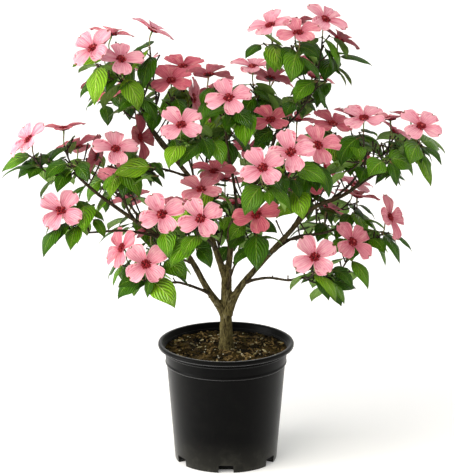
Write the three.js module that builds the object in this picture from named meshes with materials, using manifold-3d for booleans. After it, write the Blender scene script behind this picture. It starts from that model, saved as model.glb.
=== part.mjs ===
/*
A pink flowering dogwood in a ten-inch nursery pot, in bloom and in leaf.
Millimetres, +Z up, front at -Y. The origin is the middle of the pot's flat underside.

The pot and its soil are plain turned solids. The trunk and each bough are one tapering limb
of a few sides. Every bough's flat tip meets the stem of one mass, and a mass is that stem, the
twigs that branch from it, and the leaves and four-bract blooms at their ends, fused to one body.
A leaf that would leave its mass's own space, or touch a limb or a bloom, is turned, and then
left out.
*/
import * as THREE from "three";
import { mergeVertices } from "three/addons/utils/BufferGeometryUtils.js";
import Module from "manifold-3d";

const wasm = await Module();
wasm.setup();

const GAP = 0.3; // between neighbouring solids
const UP = new THREE.Vector3(0, 0, 1);
const at = ([x, y, z]) => new THREE.Vector3(x, y, z);

// ---- driving dimensions -------------------------------------------------------------------

const POT = {
  wall: 2.5,
  floor: 3,
  baseRadius: 95.5,
  bodyTop: 186, // where the tapering body meets the upper band
  bodyTopRadius: 111,
  ridge: { bottom: 187, top: 192, radius: 113.6 }, // under the upper band
  bandRadius: 112.7,
  neck: 211,
  neckRadius: 115.5,
  lip: { bottom: 217.5, top: 227, radius: 127, inner: 118.8 },
  sides: 28,
  notches: { count: 6, width: 28, height: 15, depth: 20 },
};
const SOIL = { top: 214, edgeDrop: 3, crownRadius: 45 };

const TRUNK = {
  route: [
    [0, 0, SOIL.top + GAP],
    [0, 0, 236],
    [0, 0, 286],
    [1, 0, 330],
    [1, 0, 366],
  ],
  root: 13.4,
  tip: 8.6,
  flare: 2, // how far the foot spreads past the stem
  flareHeight: 12,
  lobes: 5, // the roots that show as ridges in the flare
  lobing: 0.5, // how far the ridges stand out, against the flare
  sides: 10,
};

// Each bough: the limb that carries it, the height at which it leaves, the places it passes,
// and its radius at the root and at the tip.
const BOUGHS = {
  left_bough: { on: "trunk", leaves: 280, root: 7.2, tip: 2.2,
    via: [[-33, -10, 330], [-74, -20, 405], [-118, -28, 435], [-175, -28, 475], [-235, -12, 515],
      [-272, 0, 545]] },
  right_bough: { on: "trunk", leaves: 284, root: 7.8, tip: 2.2,
    via: [[25, -6, 332], [54, -10, 370], [113, 0, 434], [159, 0, 484], [214, 0, 509], [253, 0, 536],
      [276, -4, 552]] },
  left_leader: { on: "trunk", leaves: 346, root: 6.2, tip: 2.7,
    via: [[-25, 10, 421], [-54, 0, 520], [-85, 0, 568], [-118, 0, 606], [-137, 3, 634]] },
  right_leader: { on: "trunk", leaves: 350, root: 6.4, tip: 2.6,
    via: [[8, 2, 402], [9, 4, 450], [46, 18, 512], [74, 12, 572], [92, 2, 624]] },
  left_low_branch: { on: "left_bough", leaves: 324, root: 2.8, tip: 2.1,
    via: [[-84, -55, 358], [-112, -84, 364]] },
  left_mid_branch: { on: "left_bough", leaves: 440, root: 2.6, tip: 2.0,
    via: [[-185, -60, 459], [-238, -76, 461]] },
  left_rise_branch: { on: "left_bough", leaves: 472, root: 2.5, tip: 2.0,
    via: [[-183, -36, 500], [-188, -30, 520]] },
  left_upper_branch: { on: "left_leader", leaves: 545, root: 2.5, tip: 2.0,
    via: [[-108, -22, 564], [-142, -40, 576]] },
  centre_left_branch: { on: "left_leader", leaves: 520, root: 2.5, tip: 2.0,
    via: [[-62, -42, 570], [-72, -78, 612]] },
  inner_left_branch: { on: "left_leader", leaves: 570, root: 2.5, tip: 2.0,
    via: [[-94, 26, 612], [-92, 40, 646]] },
  low_centre_left_branch: { on: "left_leader", leaves: 405, root: 2.9, tip: 2.2,
    via: [[-30, -45, 434], [-48, -88, 458]] },
  low_centre_branch: { on: "trunk", leaves: 322, root: 2.4, tip: 1.9,
    via: [[14, -38, 382], [32, -66, 416]] },
  top_centre_branch: { on: "right_leader", leaves: 470, root: 2.9, tip: 2.1,
    via: [[14, -10, 540], [4, -32, 600], [0, -45, 638]] },
  centre_right_branch: { on: "right_leader", leaves: 500, root: 2.8, tip: 2.1,
    via: [[62, -34, 540], [84, -82, 568], [92, -104, 580]] },
  inner_right_branch: { on: "right_leader", leaves: 556, root: 2.4, tip: 2.0,
    via: [[64, 48, 606], [64, 66, 640]] },
  right_low_branch: { on: "right_bough", leaves: 346, root: 2.8, tip: 2.1,
    via: [[76, -50, 366], [112, -98, 376], [130, -120, 386]] },
  right_outer_low_branch: { on: "right_bough", leaves: 404, root: 2.8, tip: 2.1,
    via: [[130, 14, 426], [176, 16, 432], [200, 14, 440]] },
  right_mid_branch: { on: "right_bough", leaves: 448, root: 2.5, tip: 2.0,
    via: [[140, 32, 468], [158, 46, 482]] },
  right_upper_branch: { on: "right_bough", leaves: 528, root: 2.4, tip: 2.0,
    via: [[252, -20, 562], [256, -30, 590]] },
  back_upper_left_branch: { on: "left_leader", leaves: 500, root: 2.9, tip: 2.1,
    via: [[-88, 66, 556], [-136, 120, 604], [-160, 140, 630]] },
  back_centre_left_branch: { on: "left_leader", leaves: 455, root: 2.7, tip: 2.1,
    via: [[-40, 70, 512], [-36, 120, 552]] },
  back_far_left_branch: { on: "left_bough", leaves: 456, root: 2.7, tip: 2.1,
    via: [[-176, 46, 474], [-204, 98, 486]] },
  back_low_left_branch: { on: "left_bough", leaves: 388, root: 2.6, tip: 2.0,
    via: [[-92, 50, 374], [-116, 100, 372]] },
  back_low_centre_branch: { on: "trunk", leaves: 338, root: 2.6, tip: 2.0,
    via: [[-10, 58, 380], [-18, 112, 398]] },
  back_upper_right_branch: { on: "right_leader", leaves: 530, root: 2.8, tip: 2.1,
    via: [[98, 70, 584], [122, 122, 632]] },
  back_centre_right_branch: { on: "right_leader", leaves: 452, root: 2.7, tip: 2.1,
    via: [[42, 72, 478], [76, 136, 494]] },
  back_far_right_branch: { on: "right_bough", leaves: 504, root: 2.6, tip: 2.0,
    via: [[236, 56, 522], [256, 100, 544]] },
  back_low_right_branch: { on: "right_bough", leaves: 424, root: 2.6, tip: 2.0,
    via: [[146, 66, 410], [178, 112, 406]] },
};

// Each mass: the bough that carries it, its blooms as the middle of the bloom (x, y, z) and the
// way it faces (turn from the front, lift over level, roll of its bracts), and its leafy tips
// without a bloom. A mass given as a ring has its blooms spread round a centre by rule.
const MASSES = {
  far_left: { bough: "left_bough",
    blooms: [[-360, -20, 620, -65, 45, 70], [-300, 40, 625, -150, 80, 60]],
    tips: [[-340, -40, 575], [-262, -45, 582]] },
  upper_left: { bough: "left_leader",
    blooms: [[-240, -60, 800, -40, 45, 70], [-190, -40, 775, 15, 60, 80], [-210, 60, 800, 150, 70, 30],
      [-134, 20, 816, 100, 62, 70], [-200, 60, 692, -90, 55, 5]],
    tips: [[-165, -35, 712], [-122, 20, 698]] },
  upper_right: { bough: "right_leader",
    blooms: [[80, -30, 835, -50, 65, 30], [130, -70, 830, 0, 70, 25], [180, 0, 840, 50, 60, 20],
      [128, 62, 820, 170, 70, 70], [208, 60, 790, 125, 55, 55], [82, -34, 660, 0, 70, 35]],
    tips: [[168, -30, 735]] },
  far_right: { bough: "right_bough",
    blooms: [[355, -40, 650, 20, 60, 35], [304, 48, 642, 180, 80, 60]],
    tips: [[352, 20, 590], [290, -75, 596]] },
  low_left: { bough: "left_low_branch",
    blooms: [[-190, -60, 425, -60, 25, 45], [-145, -130, 415, 0, 35, 40]],
    tips: [[-118, -60, 415]] },
  mid_left: { bough: "left_mid_branch",
    blooms: [[-300, -90, 505, 0, 40, 55]],
    tips: [[-262, -52, 508]] },
  rise_left: { bough: "left_rise_branch",
    blooms: [[-238, 34, 575, -110, 10, 15], [-200, -22, 546, 170, 52, 65]],
    tips: [] },
  upper_mid_left: { bough: "left_upper_branch",
    blooms: [[-200, -90, 620, 15, 60, 85], [-160, -4, 621, 65, 15, 75]],
    tips: [[-128, -92, 588]] },
  centre_left: { bough: "centre_left_branch",
    blooms: [[-80, -130, 675, 0, 55, 45]],
    tips: [[-40, -110, 640]] },
  inner_left: { bough: "inner_left_branch",
    blooms: [[-100, 16, 722, 0, 65, 43], [-80, 96, 730, 0, 75, 40], [-62, 50, 682, 75, 15, 45]],
    tips: [] },
  low_centre_left: { bough: "low_centre_left_branch",
    blooms: [[-115, -170, 520, 0, 40, 25], [-45, -200, 520, 0, 45, 30], [-45, -105, 548, 0, 70, 55],
      [-22, -38, 564, 0, 80, 72]],
    tips: [] },
  low_centre: { bough: "low_centre_branch",
    blooms: [[55, -120, 505, 0, 45, 15]],
    tips: [] },
  top_centre: { bough: "top_centre_branch",
    blooms: [[5, -110, 720, 0, 50, 20], [-32, 10, 735, 180, 60, 25]],
    tips: [[35, -60, 690]] },
  centre_right: { bough: "centre_right_branch",
    blooms: [[115, -190, 640, 0, 40, 15], [65, -230, 622, 0, 45, 35], [165, -120, 635, 20, 50, 85]],
    tips: [[120, -150, 560]] },
  inner_right: { bough: "inner_right_branch",
    blooms: [[50, 60, 738, 0, 85, 80], [82, 110, 705, 165, 55, 30]],
    tips: [] },
  low_right: { bough: "right_low_branch",
    blooms: [[230, -90, 445, 40, 40, 25], [160, -170, 440, 0, 40, 35]],
    tips: [[190, -120, 385]] },
  outer_low_right: { bough: "right_outer_low_branch",
    blooms: [[245, 62, 490, 125, 75, 50], [300, -30, 475, 65, 25, 75]],
    tips: [[266, 4, 428]] },
  mid_right: { bough: "right_mid_branch",
    blooms: [[150, 48, 516, 0, 65, 45], [185, 42, 549, 105, 30, 50], [232, 40, 582, 85, 55, 15]],
    tips: [] },
  upper_mid_right: { bough: "right_upper_branch",
    blooms: [[195, 0, 645, 40, 70, 10], [250, -60, 670, 0, 70, 50]],
    tips: [[236, -60, 590]] },
  back_upper_left: { bough: "back_upper_left_branch", ring: [-205, 180, 705], count: 3 },
  back_centre_left: { bough: "back_centre_left_branch", ring: [-40, 170, 630], count: 3 },
  back_far_left: { bough: "back_far_left_branch", ring: [-226, 150, 536], count: 3 },
  back_low_left: { bough: "back_low_left_branch", ring: [-150, 160, 425], count: 3 },
  back_low_centre: { bough: "back_low_centre_branch", ring: [-25, 175, 470], count: 3 },
  back_upper_right: { bough: "back_upper_right_branch", ring: [150, 175, 700], count: 3 },
  back_centre_right: { bough: "back_centre_right_branch", ring: [100, 200, 560], count: 3 },
  back_far_right: { bough: "back_far_right_branch", ring: [286, 160, 592], count: 3 },
  back_low_right: { bough: "back_low_right_branch", ring: [210, 165, 455], count: 3 },
};
const RING = {
  radius: 56, // of the blooms round their centre
  radiusSpread: 0.3,
  rise: 16, // of the outermost bloom
  lift: 55,
  liftSpread: 30,
  turnSpread: 70,
  angleSpread: 0.6, // of the angle between two neighbours
};

const TWIG = {
  lead: 12, // how far a stem runs straight on from its bough
  tip: 1.5,
  narrowing: 0.86, // a side twig's root against the twig that carries it
  past: 3, // how far a leafy tip stands past its upper leaves
  runCost: 0.3, // what a place's distance from the bough counts against its nearness
  upturn: 0.9, // how strongly a twig turns up towards its end
  step: 56,
  sides: 3,
  swell: 1.2, // a three-sided twig's corners against its radius
  wander: 0.07,
};
const STALK = {
  length: 31,
  radius: 1.3,
  lean: 0.55, // towards the bloom's face, against upright
  sunk: 1.5, // how far it ends inside the button
};
const LEAF = {
  lengths: [66, 82],
  width: 0.62, // of the length
  widest: 0.4, // share of the blade at which it is widest
  thickest: 0.25,
  petiole: 9,
  thickness: 1.5,
  rises: [-24, 12], // degrees over level at the blade's root
  droops: [48, 84], // degrees that the blade turns down from root to tip
  tilts: [-18, 18],
  facing: 34, // degrees that a leaf rolls to face outwards from the trunk
  arch: 0.07, // how far the margins lie under the midrib, against the width
  below: 2.5, // from the twig's end down to the upper pair of leaves
  pairGap: 11, // from the upper pair of leaves down to the lower
  jitter: 14,
  missing: 0.72, // share of the lower leaves that have fallen
};
const LEAF_TURNS = [0, 25, -25, 50, -50, 75, -75]; // tried in this order
const BRACT = {
  length: 47,
  width: 36,
  widest: 0.6, // share of the length at which it is widest
  tipWidth: 0.34, // of the notched end, against the width
  cups: [11, 17], // degrees that each pair rises over the bloom's face
  thickness: 1.5,
  valley: 1.2, // where two bracts meet, against the button's radius
};
const BRACT_TURNS = [0, 1, 2, 3]; // quarter turns
const BUTTON = { radius: 9.5, height: 8 };
const SPACE = {
  margin: 2, // how much nearer a point lies to its own mass than to any other
  limbClear: 5,
  bloomClear: 4,
  bloomRadius: 50,
  leafClear: 8,
};

// ---- seeded draws and small geometry --------------------------------------------------------

function seeded(seed) {
  let state = seed * 7919 + 12345;
  const next = () => {
    state = (state * 48271) % 2147483647;
    return state / 2147483647;
  };
  for (let warmUp = 0; warmUp < 3; warmUp++) next();
  return next;
}

const between = (random, [low, high]) => low + (high - low) * random();
const radians = THREE.MathUtils.degToRad;

// A level direction, turned from the front towards the right.
const heading = (turn) => new THREE.Vector3(Math.sin(turn), -Math.cos(turn), 0);

// The direction of a polyline at each of its points.
function directions(points) {
  return points.map((_, i) => {
    const before = points[Math.max(i - 1, 0)];
    const after = points[Math.min(i + 1, points.length - 1)];
    return after.clone().sub(before).normalize();
  });
}

// The shortest distance from a point to a segment.
function toSegment(point, { start, end }) {
  const run = end.clone().sub(start);
  const share = THREE.MathUtils.clamp(point.clone().sub(start).dot(run) / run.lengthSq(), 0, 1);
  return start.clone().addScaledVector(run, share).distanceTo(point);
}

// A closed tube of flat sides along points, with a radius at each and flat ends. lobe(ring, angle)
// scales the radius round a ring.
function tube(points, radii, sides, lobe = () => 1, along = directions(points)) {
  const corners = [];
  const faces = [];
  let across = new THREE.Vector3(1, 0, 0);
  if (Math.abs(along[0].x) > 0.8) across = new THREE.Vector3(0, 1, 0);
  points.forEach((point, ring) => {
    across = across.clone().addScaledVector(along[ring], -across.dot(along[ring])).normalize();
    const beside = along[ring].clone().cross(across);
    for (let side = 0; side < sides; side++) {
      const angle = (2 * Math.PI * side) / sides;
      const radius = radii[ring] * lobe(ring, angle);
      const corner = point.clone().addScaledVector(across, radius * Math.cos(angle));
      corners.push(corner.addScaledVector(beside, radius * Math.sin(angle)));
    }
  });
  for (let ring = 0; ring + 1 < points.length; ring++) {
    for (let side = 0; side < sides; side++) {
      const a = ring * sides + side;
      const b = ring * sides + ((side + 1) % sides);
      faces.push(a, b, b + sides, a, b + sides, a + sides);
    }
  }
  const last = (points.length - 1) * sides;
  for (let side = 1; side + 1 < sides; side++) {
    faces.push(0, side + 1, side, last, last + side, last + side + 1);
  }
  return new THREE.BufferGeometry().setFromPoints(corners).setIndex(faces);
}

// A thin blade: a flat outline with a ridge over its middle and a keel under it.
function blade(outline, ridge, keel) {
  const top = outline.length;
  const faces = outline.flatMap((_, i) => {
    const next = (i + 1) % outline.length;
    return [i, next, top, next, i, top + 1];
  });
  return new THREE.BufferGeometry().setFromPoints([...outline, ridge, keel]).setIndex(faces);
}

// ---- joining and cutting ----------------------------------------------------------------------

function solidOf(geometry) {
  const bare = new THREE.BufferGeometry();
  bare.setAttribute("position", geometry.getAttribute("position"));
  bare.setIndex(geometry.index);
  const merged = mergeVertices(bare, 1e-4);
  const corners = merged.index.array;
  const kept = [];
  for (let i = 0; i < corners.length; i += 3) {
    const [a, b, c] = corners.slice(i, i + 3);
    if (a !== b && b !== c && c !== a) kept.push(a, b, c);
  }
  return new wasm.Manifold(
    new wasm.Mesh({
      numProp: 3,
      vertProperties: new Float32Array(merged.getAttribute("position").array),
      triVerts: new Uint32Array(kept),
    }),
  );
}

const joined = (solids) => solids.reduce((whole, next) => whole.add(next));

// The largest body of a solid: a loose scrap is dropped, and a hollow that joining sealed fills.
function largest(solid) {
  const bodies = solid.decompose();
  return bodies.reduce((best, body) => (body.volume() > best.volume() ? body : best));
}

function meshOf(name, solid, material) {
  const { vertProperties, triVerts } = solid.getMesh();
  const geometry = new THREE.BufferGeometry();
  geometry.setAttribute("position", new THREE.BufferAttribute(vertProperties, 3));
  geometry.setIndex(new THREE.BufferAttribute(triVerts, 1));
  geometry.computeVertexNormals();
  const mesh = new THREE.Mesh(geometry, material);
  mesh.name = name;
  return mesh;
}

// ---- pot and soil ---------------------------------------------------------------------------

// The pot's outer radius where the soil can reach, bottom to neck.
const potOuter = [
  [POT.baseRadius, 0],
  [POT.bodyTopRadius, POT.bodyTop],
  [POT.neckRadius, POT.neck],
];

// The inner wall of the pot, moved in by a further clearance.
const potInner = (clear) =>
  potOuter.map(([radius, height]) => [radius - POT.wall - clear, Math.max(height, POT.floor + clear)]);

const turned = (profile, sides) => {
  const points = profile.map(([radius, height]) => new THREE.Vector2(radius, height));
  return new THREE.LatheGeometry(points, sides).rotateX(Math.PI / 2);
};

function potSolid() {
  const { ridge, lip, notches } = POT;
  const bead = (lip.top - lip.bottom) / 4;
  const shell = turned(
    [
      [0, 0],
      [POT.baseRadius, 0],
      [POT.bodyTopRadius, POT.bodyTop],
      [ridge.radius, ridge.bottom],
      [ridge.radius, ridge.top],
      [POT.bandRadius, ridge.top],
      [POT.neckRadius, POT.neck],
      [lip.radius - bead, lip.bottom],
      [lip.radius, lip.bottom + bead],
      [lip.radius, lip.top - bead],
      [lip.radius - bead, lip.top],
      [lip.inner, lip.top],
      ...potInner(0).reverse(),
      [0, POT.floor],
    ],
    POT.sides,
  );
  const cutter = new THREE.BoxGeometry(notches.width, notches.depth * 2, notches.height * 2);
  cutter.translate(0, -POT.baseRadius, 0);
  const cuts = Array.from({ length: notches.count }, (_, i) =>
    solidOf(cutter.clone().rotateZ((2 * Math.PI * i) / notches.count)),
  );
  return solidOf(shell).subtract(joined(cuts));
}

function soilSolid() {
  const [foot, shoulder, neck] = potInner(GAP);
  const edge = SOIL.top - SOIL.edgeDrop;
  const slope = (neck[0] - shoulder[0]) / (neck[1] - shoulder[1]);
  const edgeRadius = shoulder[0] + slope * (edge - shoulder[1]) - GAP;
  const surface = [[edgeRadius, edge], [SOIL.crownRadius, SOIL.top], [0, SOIL.top]];
  return solidOf(turned([[0, foot[1]], foot, shoulder, ...surface], POT.sides));
}

// ---- trunk and boughs -------------------------------------------------------------------------

const LIMB_STEP = 52;
const LIMB_TAPER = 0.7; // a limb thins a little faster near its root
const THICK_BOUGH = 4; // a bough with a root over this has six sides, and a thinner one five

// A limb's points and radii along its curve, thinning from root to tip.
function limbLine(start, via, root, tip) {
  const curve = new THREE.CatmullRomCurve3([start, ...via.map(at)], false, "catmullrom", 0.5);
  const reach = via.reduce((sum, place, i) => sum + at(place).distanceTo(i ? at(via[i - 1]) : start), 0);
  const steps = Math.max(3, Math.round(reach / LIMB_STEP));
  const points = curve.getPoints(steps);
  const radii = points.map((_, i) => root + (tip - root) * (i / steps) ** LIMB_TAPER);
  return { points, radii };
}

// The place on a limb's line at a height.
function atHeight({ points }, height) {
  const next = Math.max(1, points.findIndex((point) => point.z >= height));
  const [low, high] = [points[next - 1], points[next]];
  return low.clone().lerp(high, (height - low.z) / (high.z - low.z));
}

function trunkLine() {
  const [foot, ...via] = TRUNK.route;
  const line = limbLine(at(foot), via, TRUNK.root, TRUNK.tip);
  const rise = line.points.map((point) => point.z - SOIL.top);
  return { ...line, flares: rise.map((height) => Math.exp(-height / TRUNK.flareHeight) * TRUNK.flare) };
}

const lines = { trunk: trunkLine() };
for (const [name, bough] of Object.entries(BOUGHS)) {
  const start = atHeight(lines[bough.on], bough.leaves);
  lines[name] = limbLine(start, bough.via, bough.root, bough.tip);
}

function limbSolid(name, clear = 0) {
  const { points, radii, flares } = lines[name];
  if (name !== "trunk") {
    const sides = BOUGHS[name].root > THICK_BOUGH ? 6 : 5;
    const spread = clear / Math.cos(Math.PI / sides);
    return solidOf(tube(points, radii.map((radius) => radius + spread), sides));
  }
  const lobe = (ring, angle) =>
    1 + (flares[ring] * (1 + TRUNK.lobing * Math.cos(TRUNK.lobes * angle))) / radii[ring];
  const spread = clear / Math.cos(Math.PI / TRUNK.sides);
  const along = [UP, ...directions(points).slice(1)];
  return solidOf(tube(points, radii.map((radius) => radius + spread), TRUNK.sides, lobe, along));
}

// Every stretch of limb, for keeping leaves clear of the wood.
const limbSegments = Object.values(lines).flatMap(({ points, radii }) =>
  points.slice(1).map((end, i) => ({ start: points[i], end, radius: radii[i] })),
);

// ---- sprays: where the blooms, leaf tips and twigs of a mass go -------------------------------

// A mass's blooms spread round a centre, facing up and outwards.
function ringOfBlooms([x, y, z], count, random) {
  const outward = Math.atan2(x, -y);
  return Array.from({ length: count }, (_, i) => {
    const angle = outward + (2 * Math.PI * (i + RING.angleSpread * (random() - 0.5))) / count;
    const place = heading(angle).multiplyScalar(RING.radius * (1 + RING.radiusSpread * (random() - 0.5)));
    const turn = THREE.MathUtils.radToDeg(outward) + RING.turnSpread * (random() - 0.5);
    const lift = RING.lift + RING.liftSpread * (random() - 0.5);
    const height = z + 2 * RING.rise * (random() - 0.5) + (i ? 0 : RING.rise);
    return [x + place.x, y + place.y, height, turn, lift, 90 * random()];
  });
}

// A bloom's middle, face and bract directions, and the twig end under it that its stalk rises from.
function bloomSpray([x, y, z, turn, lift, roll]) {
  const centre = new THREE.Vector3(x, y, z);
  const level = heading(radians(turn));
  const face = level.multiplyScalar(Math.cos(radians(lift))).addScaledVector(UP, Math.sin(radians(lift)));
  const across = new THREE.Vector3(Math.cos(radians(turn)), Math.sin(radians(turn)), 0);
  const stalk = face.clone().multiplyScalar(STALK.lean).add(UP).normalize();
  const hub = centre.clone().addScaledVector(stalk, -STALK.length);
  return { centre, face, across, beside: face.clone().cross(across), roll: radians(roll), hub };
}

// The twigs of a mass: a stem from the bough's tip to its nearest end, and a twig to each other end
// from the nearest wood that is there already. A twig turns upwards to its end, and goes on as
// the stalk of the bloom there.
function growTwigs(start, direction, radius, ends, random) {
  const lead = start.clone().addScaledVector(direction, TWIG.lead);
  const twigs = [];
  let places = [{ point: lead, run: TWIG.lead, radius }];
  for (const end of [...ends].sort((a, b) => a.hub.distanceTo(start) - b.hub.distanceTo(start))) {
    const cost = (place) => place.point.distanceTo(end.hub) + TWIG.runCost * place.run;
    const from = places.reduce((best, place) => (cost(place) < cost(best) ? place : best));
    const reach = end.hub.clone().sub(from.point);
    const length = reach.length();
    end.rise = reach.normalize().addScaledVector(UP, TWIG.upturn).normalize();
    const bend = end.hub.clone().addScaledVector(end.rise, -0.5 * length);
    bend.x += TWIG.wander * length * (random() - 0.5);
    bend.y += TWIG.wander * length * (random() - 0.5);
    const steps = Math.max(2, Math.round(length / TWIG.step));
    const curve = new THREE.QuadraticBezierCurve3(from.point, bend, end.hub).getPoints(steps);
    const root = twigs.length ? Math.max(TWIG.tip, from.radius * TWIG.narrowing) : radius;
    const radii = curve.map((_, i) => root + ((TWIG.tip - root) * i) / steps);
    const found = curve.slice(1).map((point, i) => ({
      point: point.clone().lerp(curve[i], 0.5),
      run: from.run + (length * (i + 0.5)) / steps,
      radius: radii[i],
    }));
    places = twigs.length ? [...places, ...found] : found;
    const foot = twigs.length ? [] : [start];
    const past = end.bloom ? [end.bloom.centre.clone().addScaledVector(end.bloom.face, STALK.sunk)] : [];
    if (!end.bloom) curve[steps] = end.hub.clone().addScaledVector(end.rise, TWIG.past);
    twigs.push({
      points: [...foot, ...curve, ...past],
      radii: [...foot.map(() => radius), ...radii, ...past.map(() => STALK.radius)],
    });
  }
  return twigs;
}

const growths = Object.entries(MASSES).map(([name, mass], index) => {
  const random = seeded(index + 1);
  const rows = mass.ring ? ringOfBlooms(mass.ring, mass.count, random) : mass.blooms;
  const blooms = rows.map(bloomSpray);
  const flowering = blooms.map((bloom) => ({ hub: bloom.hub, bloom }));
  const ends = [...flowering, ...(mass.tips ?? []).map((tip) => ({ hub: at(tip) }))];
  const { points, radii } = lines[mass.bough];
  const direction = directions(points).at(-1);
  const start = points.at(-1).clone().addScaledVector(direction, GAP);
  const twigs = growTwigs(start, direction, radii.at(-1), ends, random);
  return { name, random, blooms, ends, twigs };
});

// ---- own space --------------------------------------------------------------------------------

// The places that hold a mass's space: its twigs, and the middles of its blooms and bracts.
const BRACT_HOLD = 0.6;
const sites = growths.flatMap(({ blooms, twigs }, mass) => {
  const wood = twigs.flatMap(({ points }) => points);
  const petals = blooms.flatMap((bloom) => [
    bloom.centre,
    ...BRACT_TURNS.map((k) =>
      bloom.centre.clone().addScaledVector(bractDirection(bloom, k), BRACT_HOLD * BRACT.length),
    ),
  ]);
  return [...wood, ...petals].map((point) => ({ mass, point }));
});
const allBlooms = growths.flatMap(({ blooms }) => blooms);

// The level direction of one of a bloom's four bracts, in the plane of its face.
function bractDirection({ across, beside, roll }, k) {
  const angle = roll + (k * Math.PI) / 2;
  return across.clone().multiplyScalar(Math.cos(angle)).addScaledVector(beside, Math.sin(angle));
}

const cupSlope = Math.sin(radians((BRACT.cups[0] + BRACT.cups[1]) / 2));

// Whether a point keeps to its mass's own space, clear of the wood and of every bloom.
function isFree(point, mass) {
  let own = Infinity;
  let other = Infinity;
  for (const site of sites) {
    const distance = site.point.distanceTo(point);
    if (site.mass === mass) own = Math.min(own, distance);
    else other = Math.min(other, distance);
  }
  if (other < own + SPACE.margin) return false;
  const nearWood = (segment) => toSegment(point, segment) < segment.radius + SPACE.limbClear;
  if (limbSegments.some(nearWood)) return false;
  return !allBlooms.some(({ centre, face }) => {
    const away = point.clone().sub(centre);
    const height = away.dot(face);
    const out = Math.sqrt(Math.max(0, away.lengthSq() - height * height));
    return out < SPACE.bloomRadius && Math.abs(height - cupSlope * out) < SPACE.bloomClear;
  });
}

// ---- leaves and blooms ------------------------------------------------------------------------

// A leaf's midrib, which arches out from the twig and over, as the place, the way up and the
// sideways direction at a share of the blade.
function leafFrame(leaf, share) {
  const out = heading(leaf.turn);
  const slope = leaf.rise - leaf.droop * share;
  const reach = (leaf.length / leaf.droop) * (Math.sin(leaf.rise) - Math.sin(slope));
  const fall = (leaf.length / leaf.droop) * (Math.cos(slope) - Math.cos(leaf.rise));
  const place = leaf.base.clone().addScaledVector(out, reach).addScaledVector(UP, fall);
  const normal = out.clone().multiplyScalar(-Math.sin(slope)).addScaledVector(UP, Math.cos(slope));
  const side = UP.clone().cross(out);
  const [level, sheer] = [Math.cos(leaf.tilt), Math.sin(leaf.tilt)];
  const tilted = side.clone().multiplyScalar(level).addScaledVector(normal, sheer);
  return { place, side: tilted, normal: normal.multiplyScalar(level).addScaledVector(side, -sheer) };
}

// A point of the blade, across it by a share of its full width.
function leafPoint(leaf, share, across) {
  const { place, side, normal } = leafFrame(leaf, share);
  const width = leaf.length * LEAF.width;
  const drop = 2 * Math.abs(across) * LEAF.arch * width;
  return place.addScaledVector(side, across * width).addScaledVector(normal, -drop);
}

// The places of a blade that have to be free, as a share along it and across it.
const LEAF_PROBES = [
  [0, 0], [0.2, -0.35], [0.2, 0.35], [LEAF.widest, -0.5], [LEAF.widest, 0], [LEAF.widest, 0.5],
  [0.65, -0.36], [0.65, 0], [0.65, 0.36], [0.85, 0], [1, 0],
];

const ROOT_PROBES = 3; // of the first of them, which may lie near another leaf's

// The probes of all leaves seated so far.
const leafProbes = [];

// A leaf turned to where it is free, clear of the leaves before it if it can be, or nothing.
function seated(leaf, mass) {
  const options = LEAF_TURNS.map((degrees) => {
    const tried = placed(leaf, radians(degrees));
    return { tried, probes: LEAF_PROBES.map(([share, across]) => leafPoint(tried, share, across)) };
  }).filter(({ probes }) => probes.every((probe) => isFree(probe, mass)));
  const isClear = (probe) => leafProbes.every((other) => other.distanceTo(probe) > SPACE.leafClear);
  const apart = ({ probes }) => probes.slice(ROOT_PROBES).every(isClear);
  const choice = options.find(apart) ?? options[0];
  if (choice) leafProbes.push(...choice.probes.slice(ROOT_PROBES));
  return choice?.tried;
}

// The leaves of one twig end: an upper pair, and a lower one that crosses it.
function leavesAt({ hub, rise }, mass, random) {
  const leaves = [];
  const spin = 2 * Math.PI * random();
  for (let pair = 0; pair < 2; pair++) {
    const root = hub.clone().addScaledVector(rise, -LEAF.below - pair * LEAF.pairGap);
    for (let half = 0; half < 2; half++) {
      const length = between(random, LEAF.lengths);
      const blow = radians(LEAF.jitter) * (2 * random() - 1);
      const turn = spin + half * Math.PI + (pair * Math.PI) / 2 + blow;
      const facing = LEAF.facing * Math.sin(turn - Math.atan2(root.x, -root.y));
      const leaf = {
        root,
        length,
        turn,
        rise: radians(between(random, LEAF.rises)),
        droop: radians(between(random, LEAF.droops)),
        tilt: radians(between(random, LEAF.tilts) + facing),
      };
      const fallen = random() < LEAF.missing && pair > 0;
      const kept = fallen ? undefined : seated(leaf, mass);
      if (kept) leaves.push(kept);
    }
  }
  return leaves;
}

// A leaf turned by an angle, with the end of its petiole worked out.
function placed(leaf, angle) {
  const turn = leaf.turn + angle;
  const petiole = heading(turn).multiplyScalar(Math.cos(leaf.rise)).addScaledVector(UP, Math.sin(leaf.rise));
  return { ...leaf, turn, base: leaf.root.clone().addScaledVector(petiole, LEAF.petiole) };
}

function leafSolid(leaf) {
  const { place, normal } = leafFrame(leaf, LEAF.thickest);
  const ridge = place.clone().addScaledVector(normal, LEAF.thickness / 2);
  const keel = place.clone().addScaledVector(normal, -LEAF.thickness / 2);
  const [left, right] = [-0.5, 0.5].map((across) => leafPoint(leaf, LEAF.widest, across));
  return solidOf(blade([leaf.root, left, leafPoint(leaf, 1, 0), right], ridge, keel));
}

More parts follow.
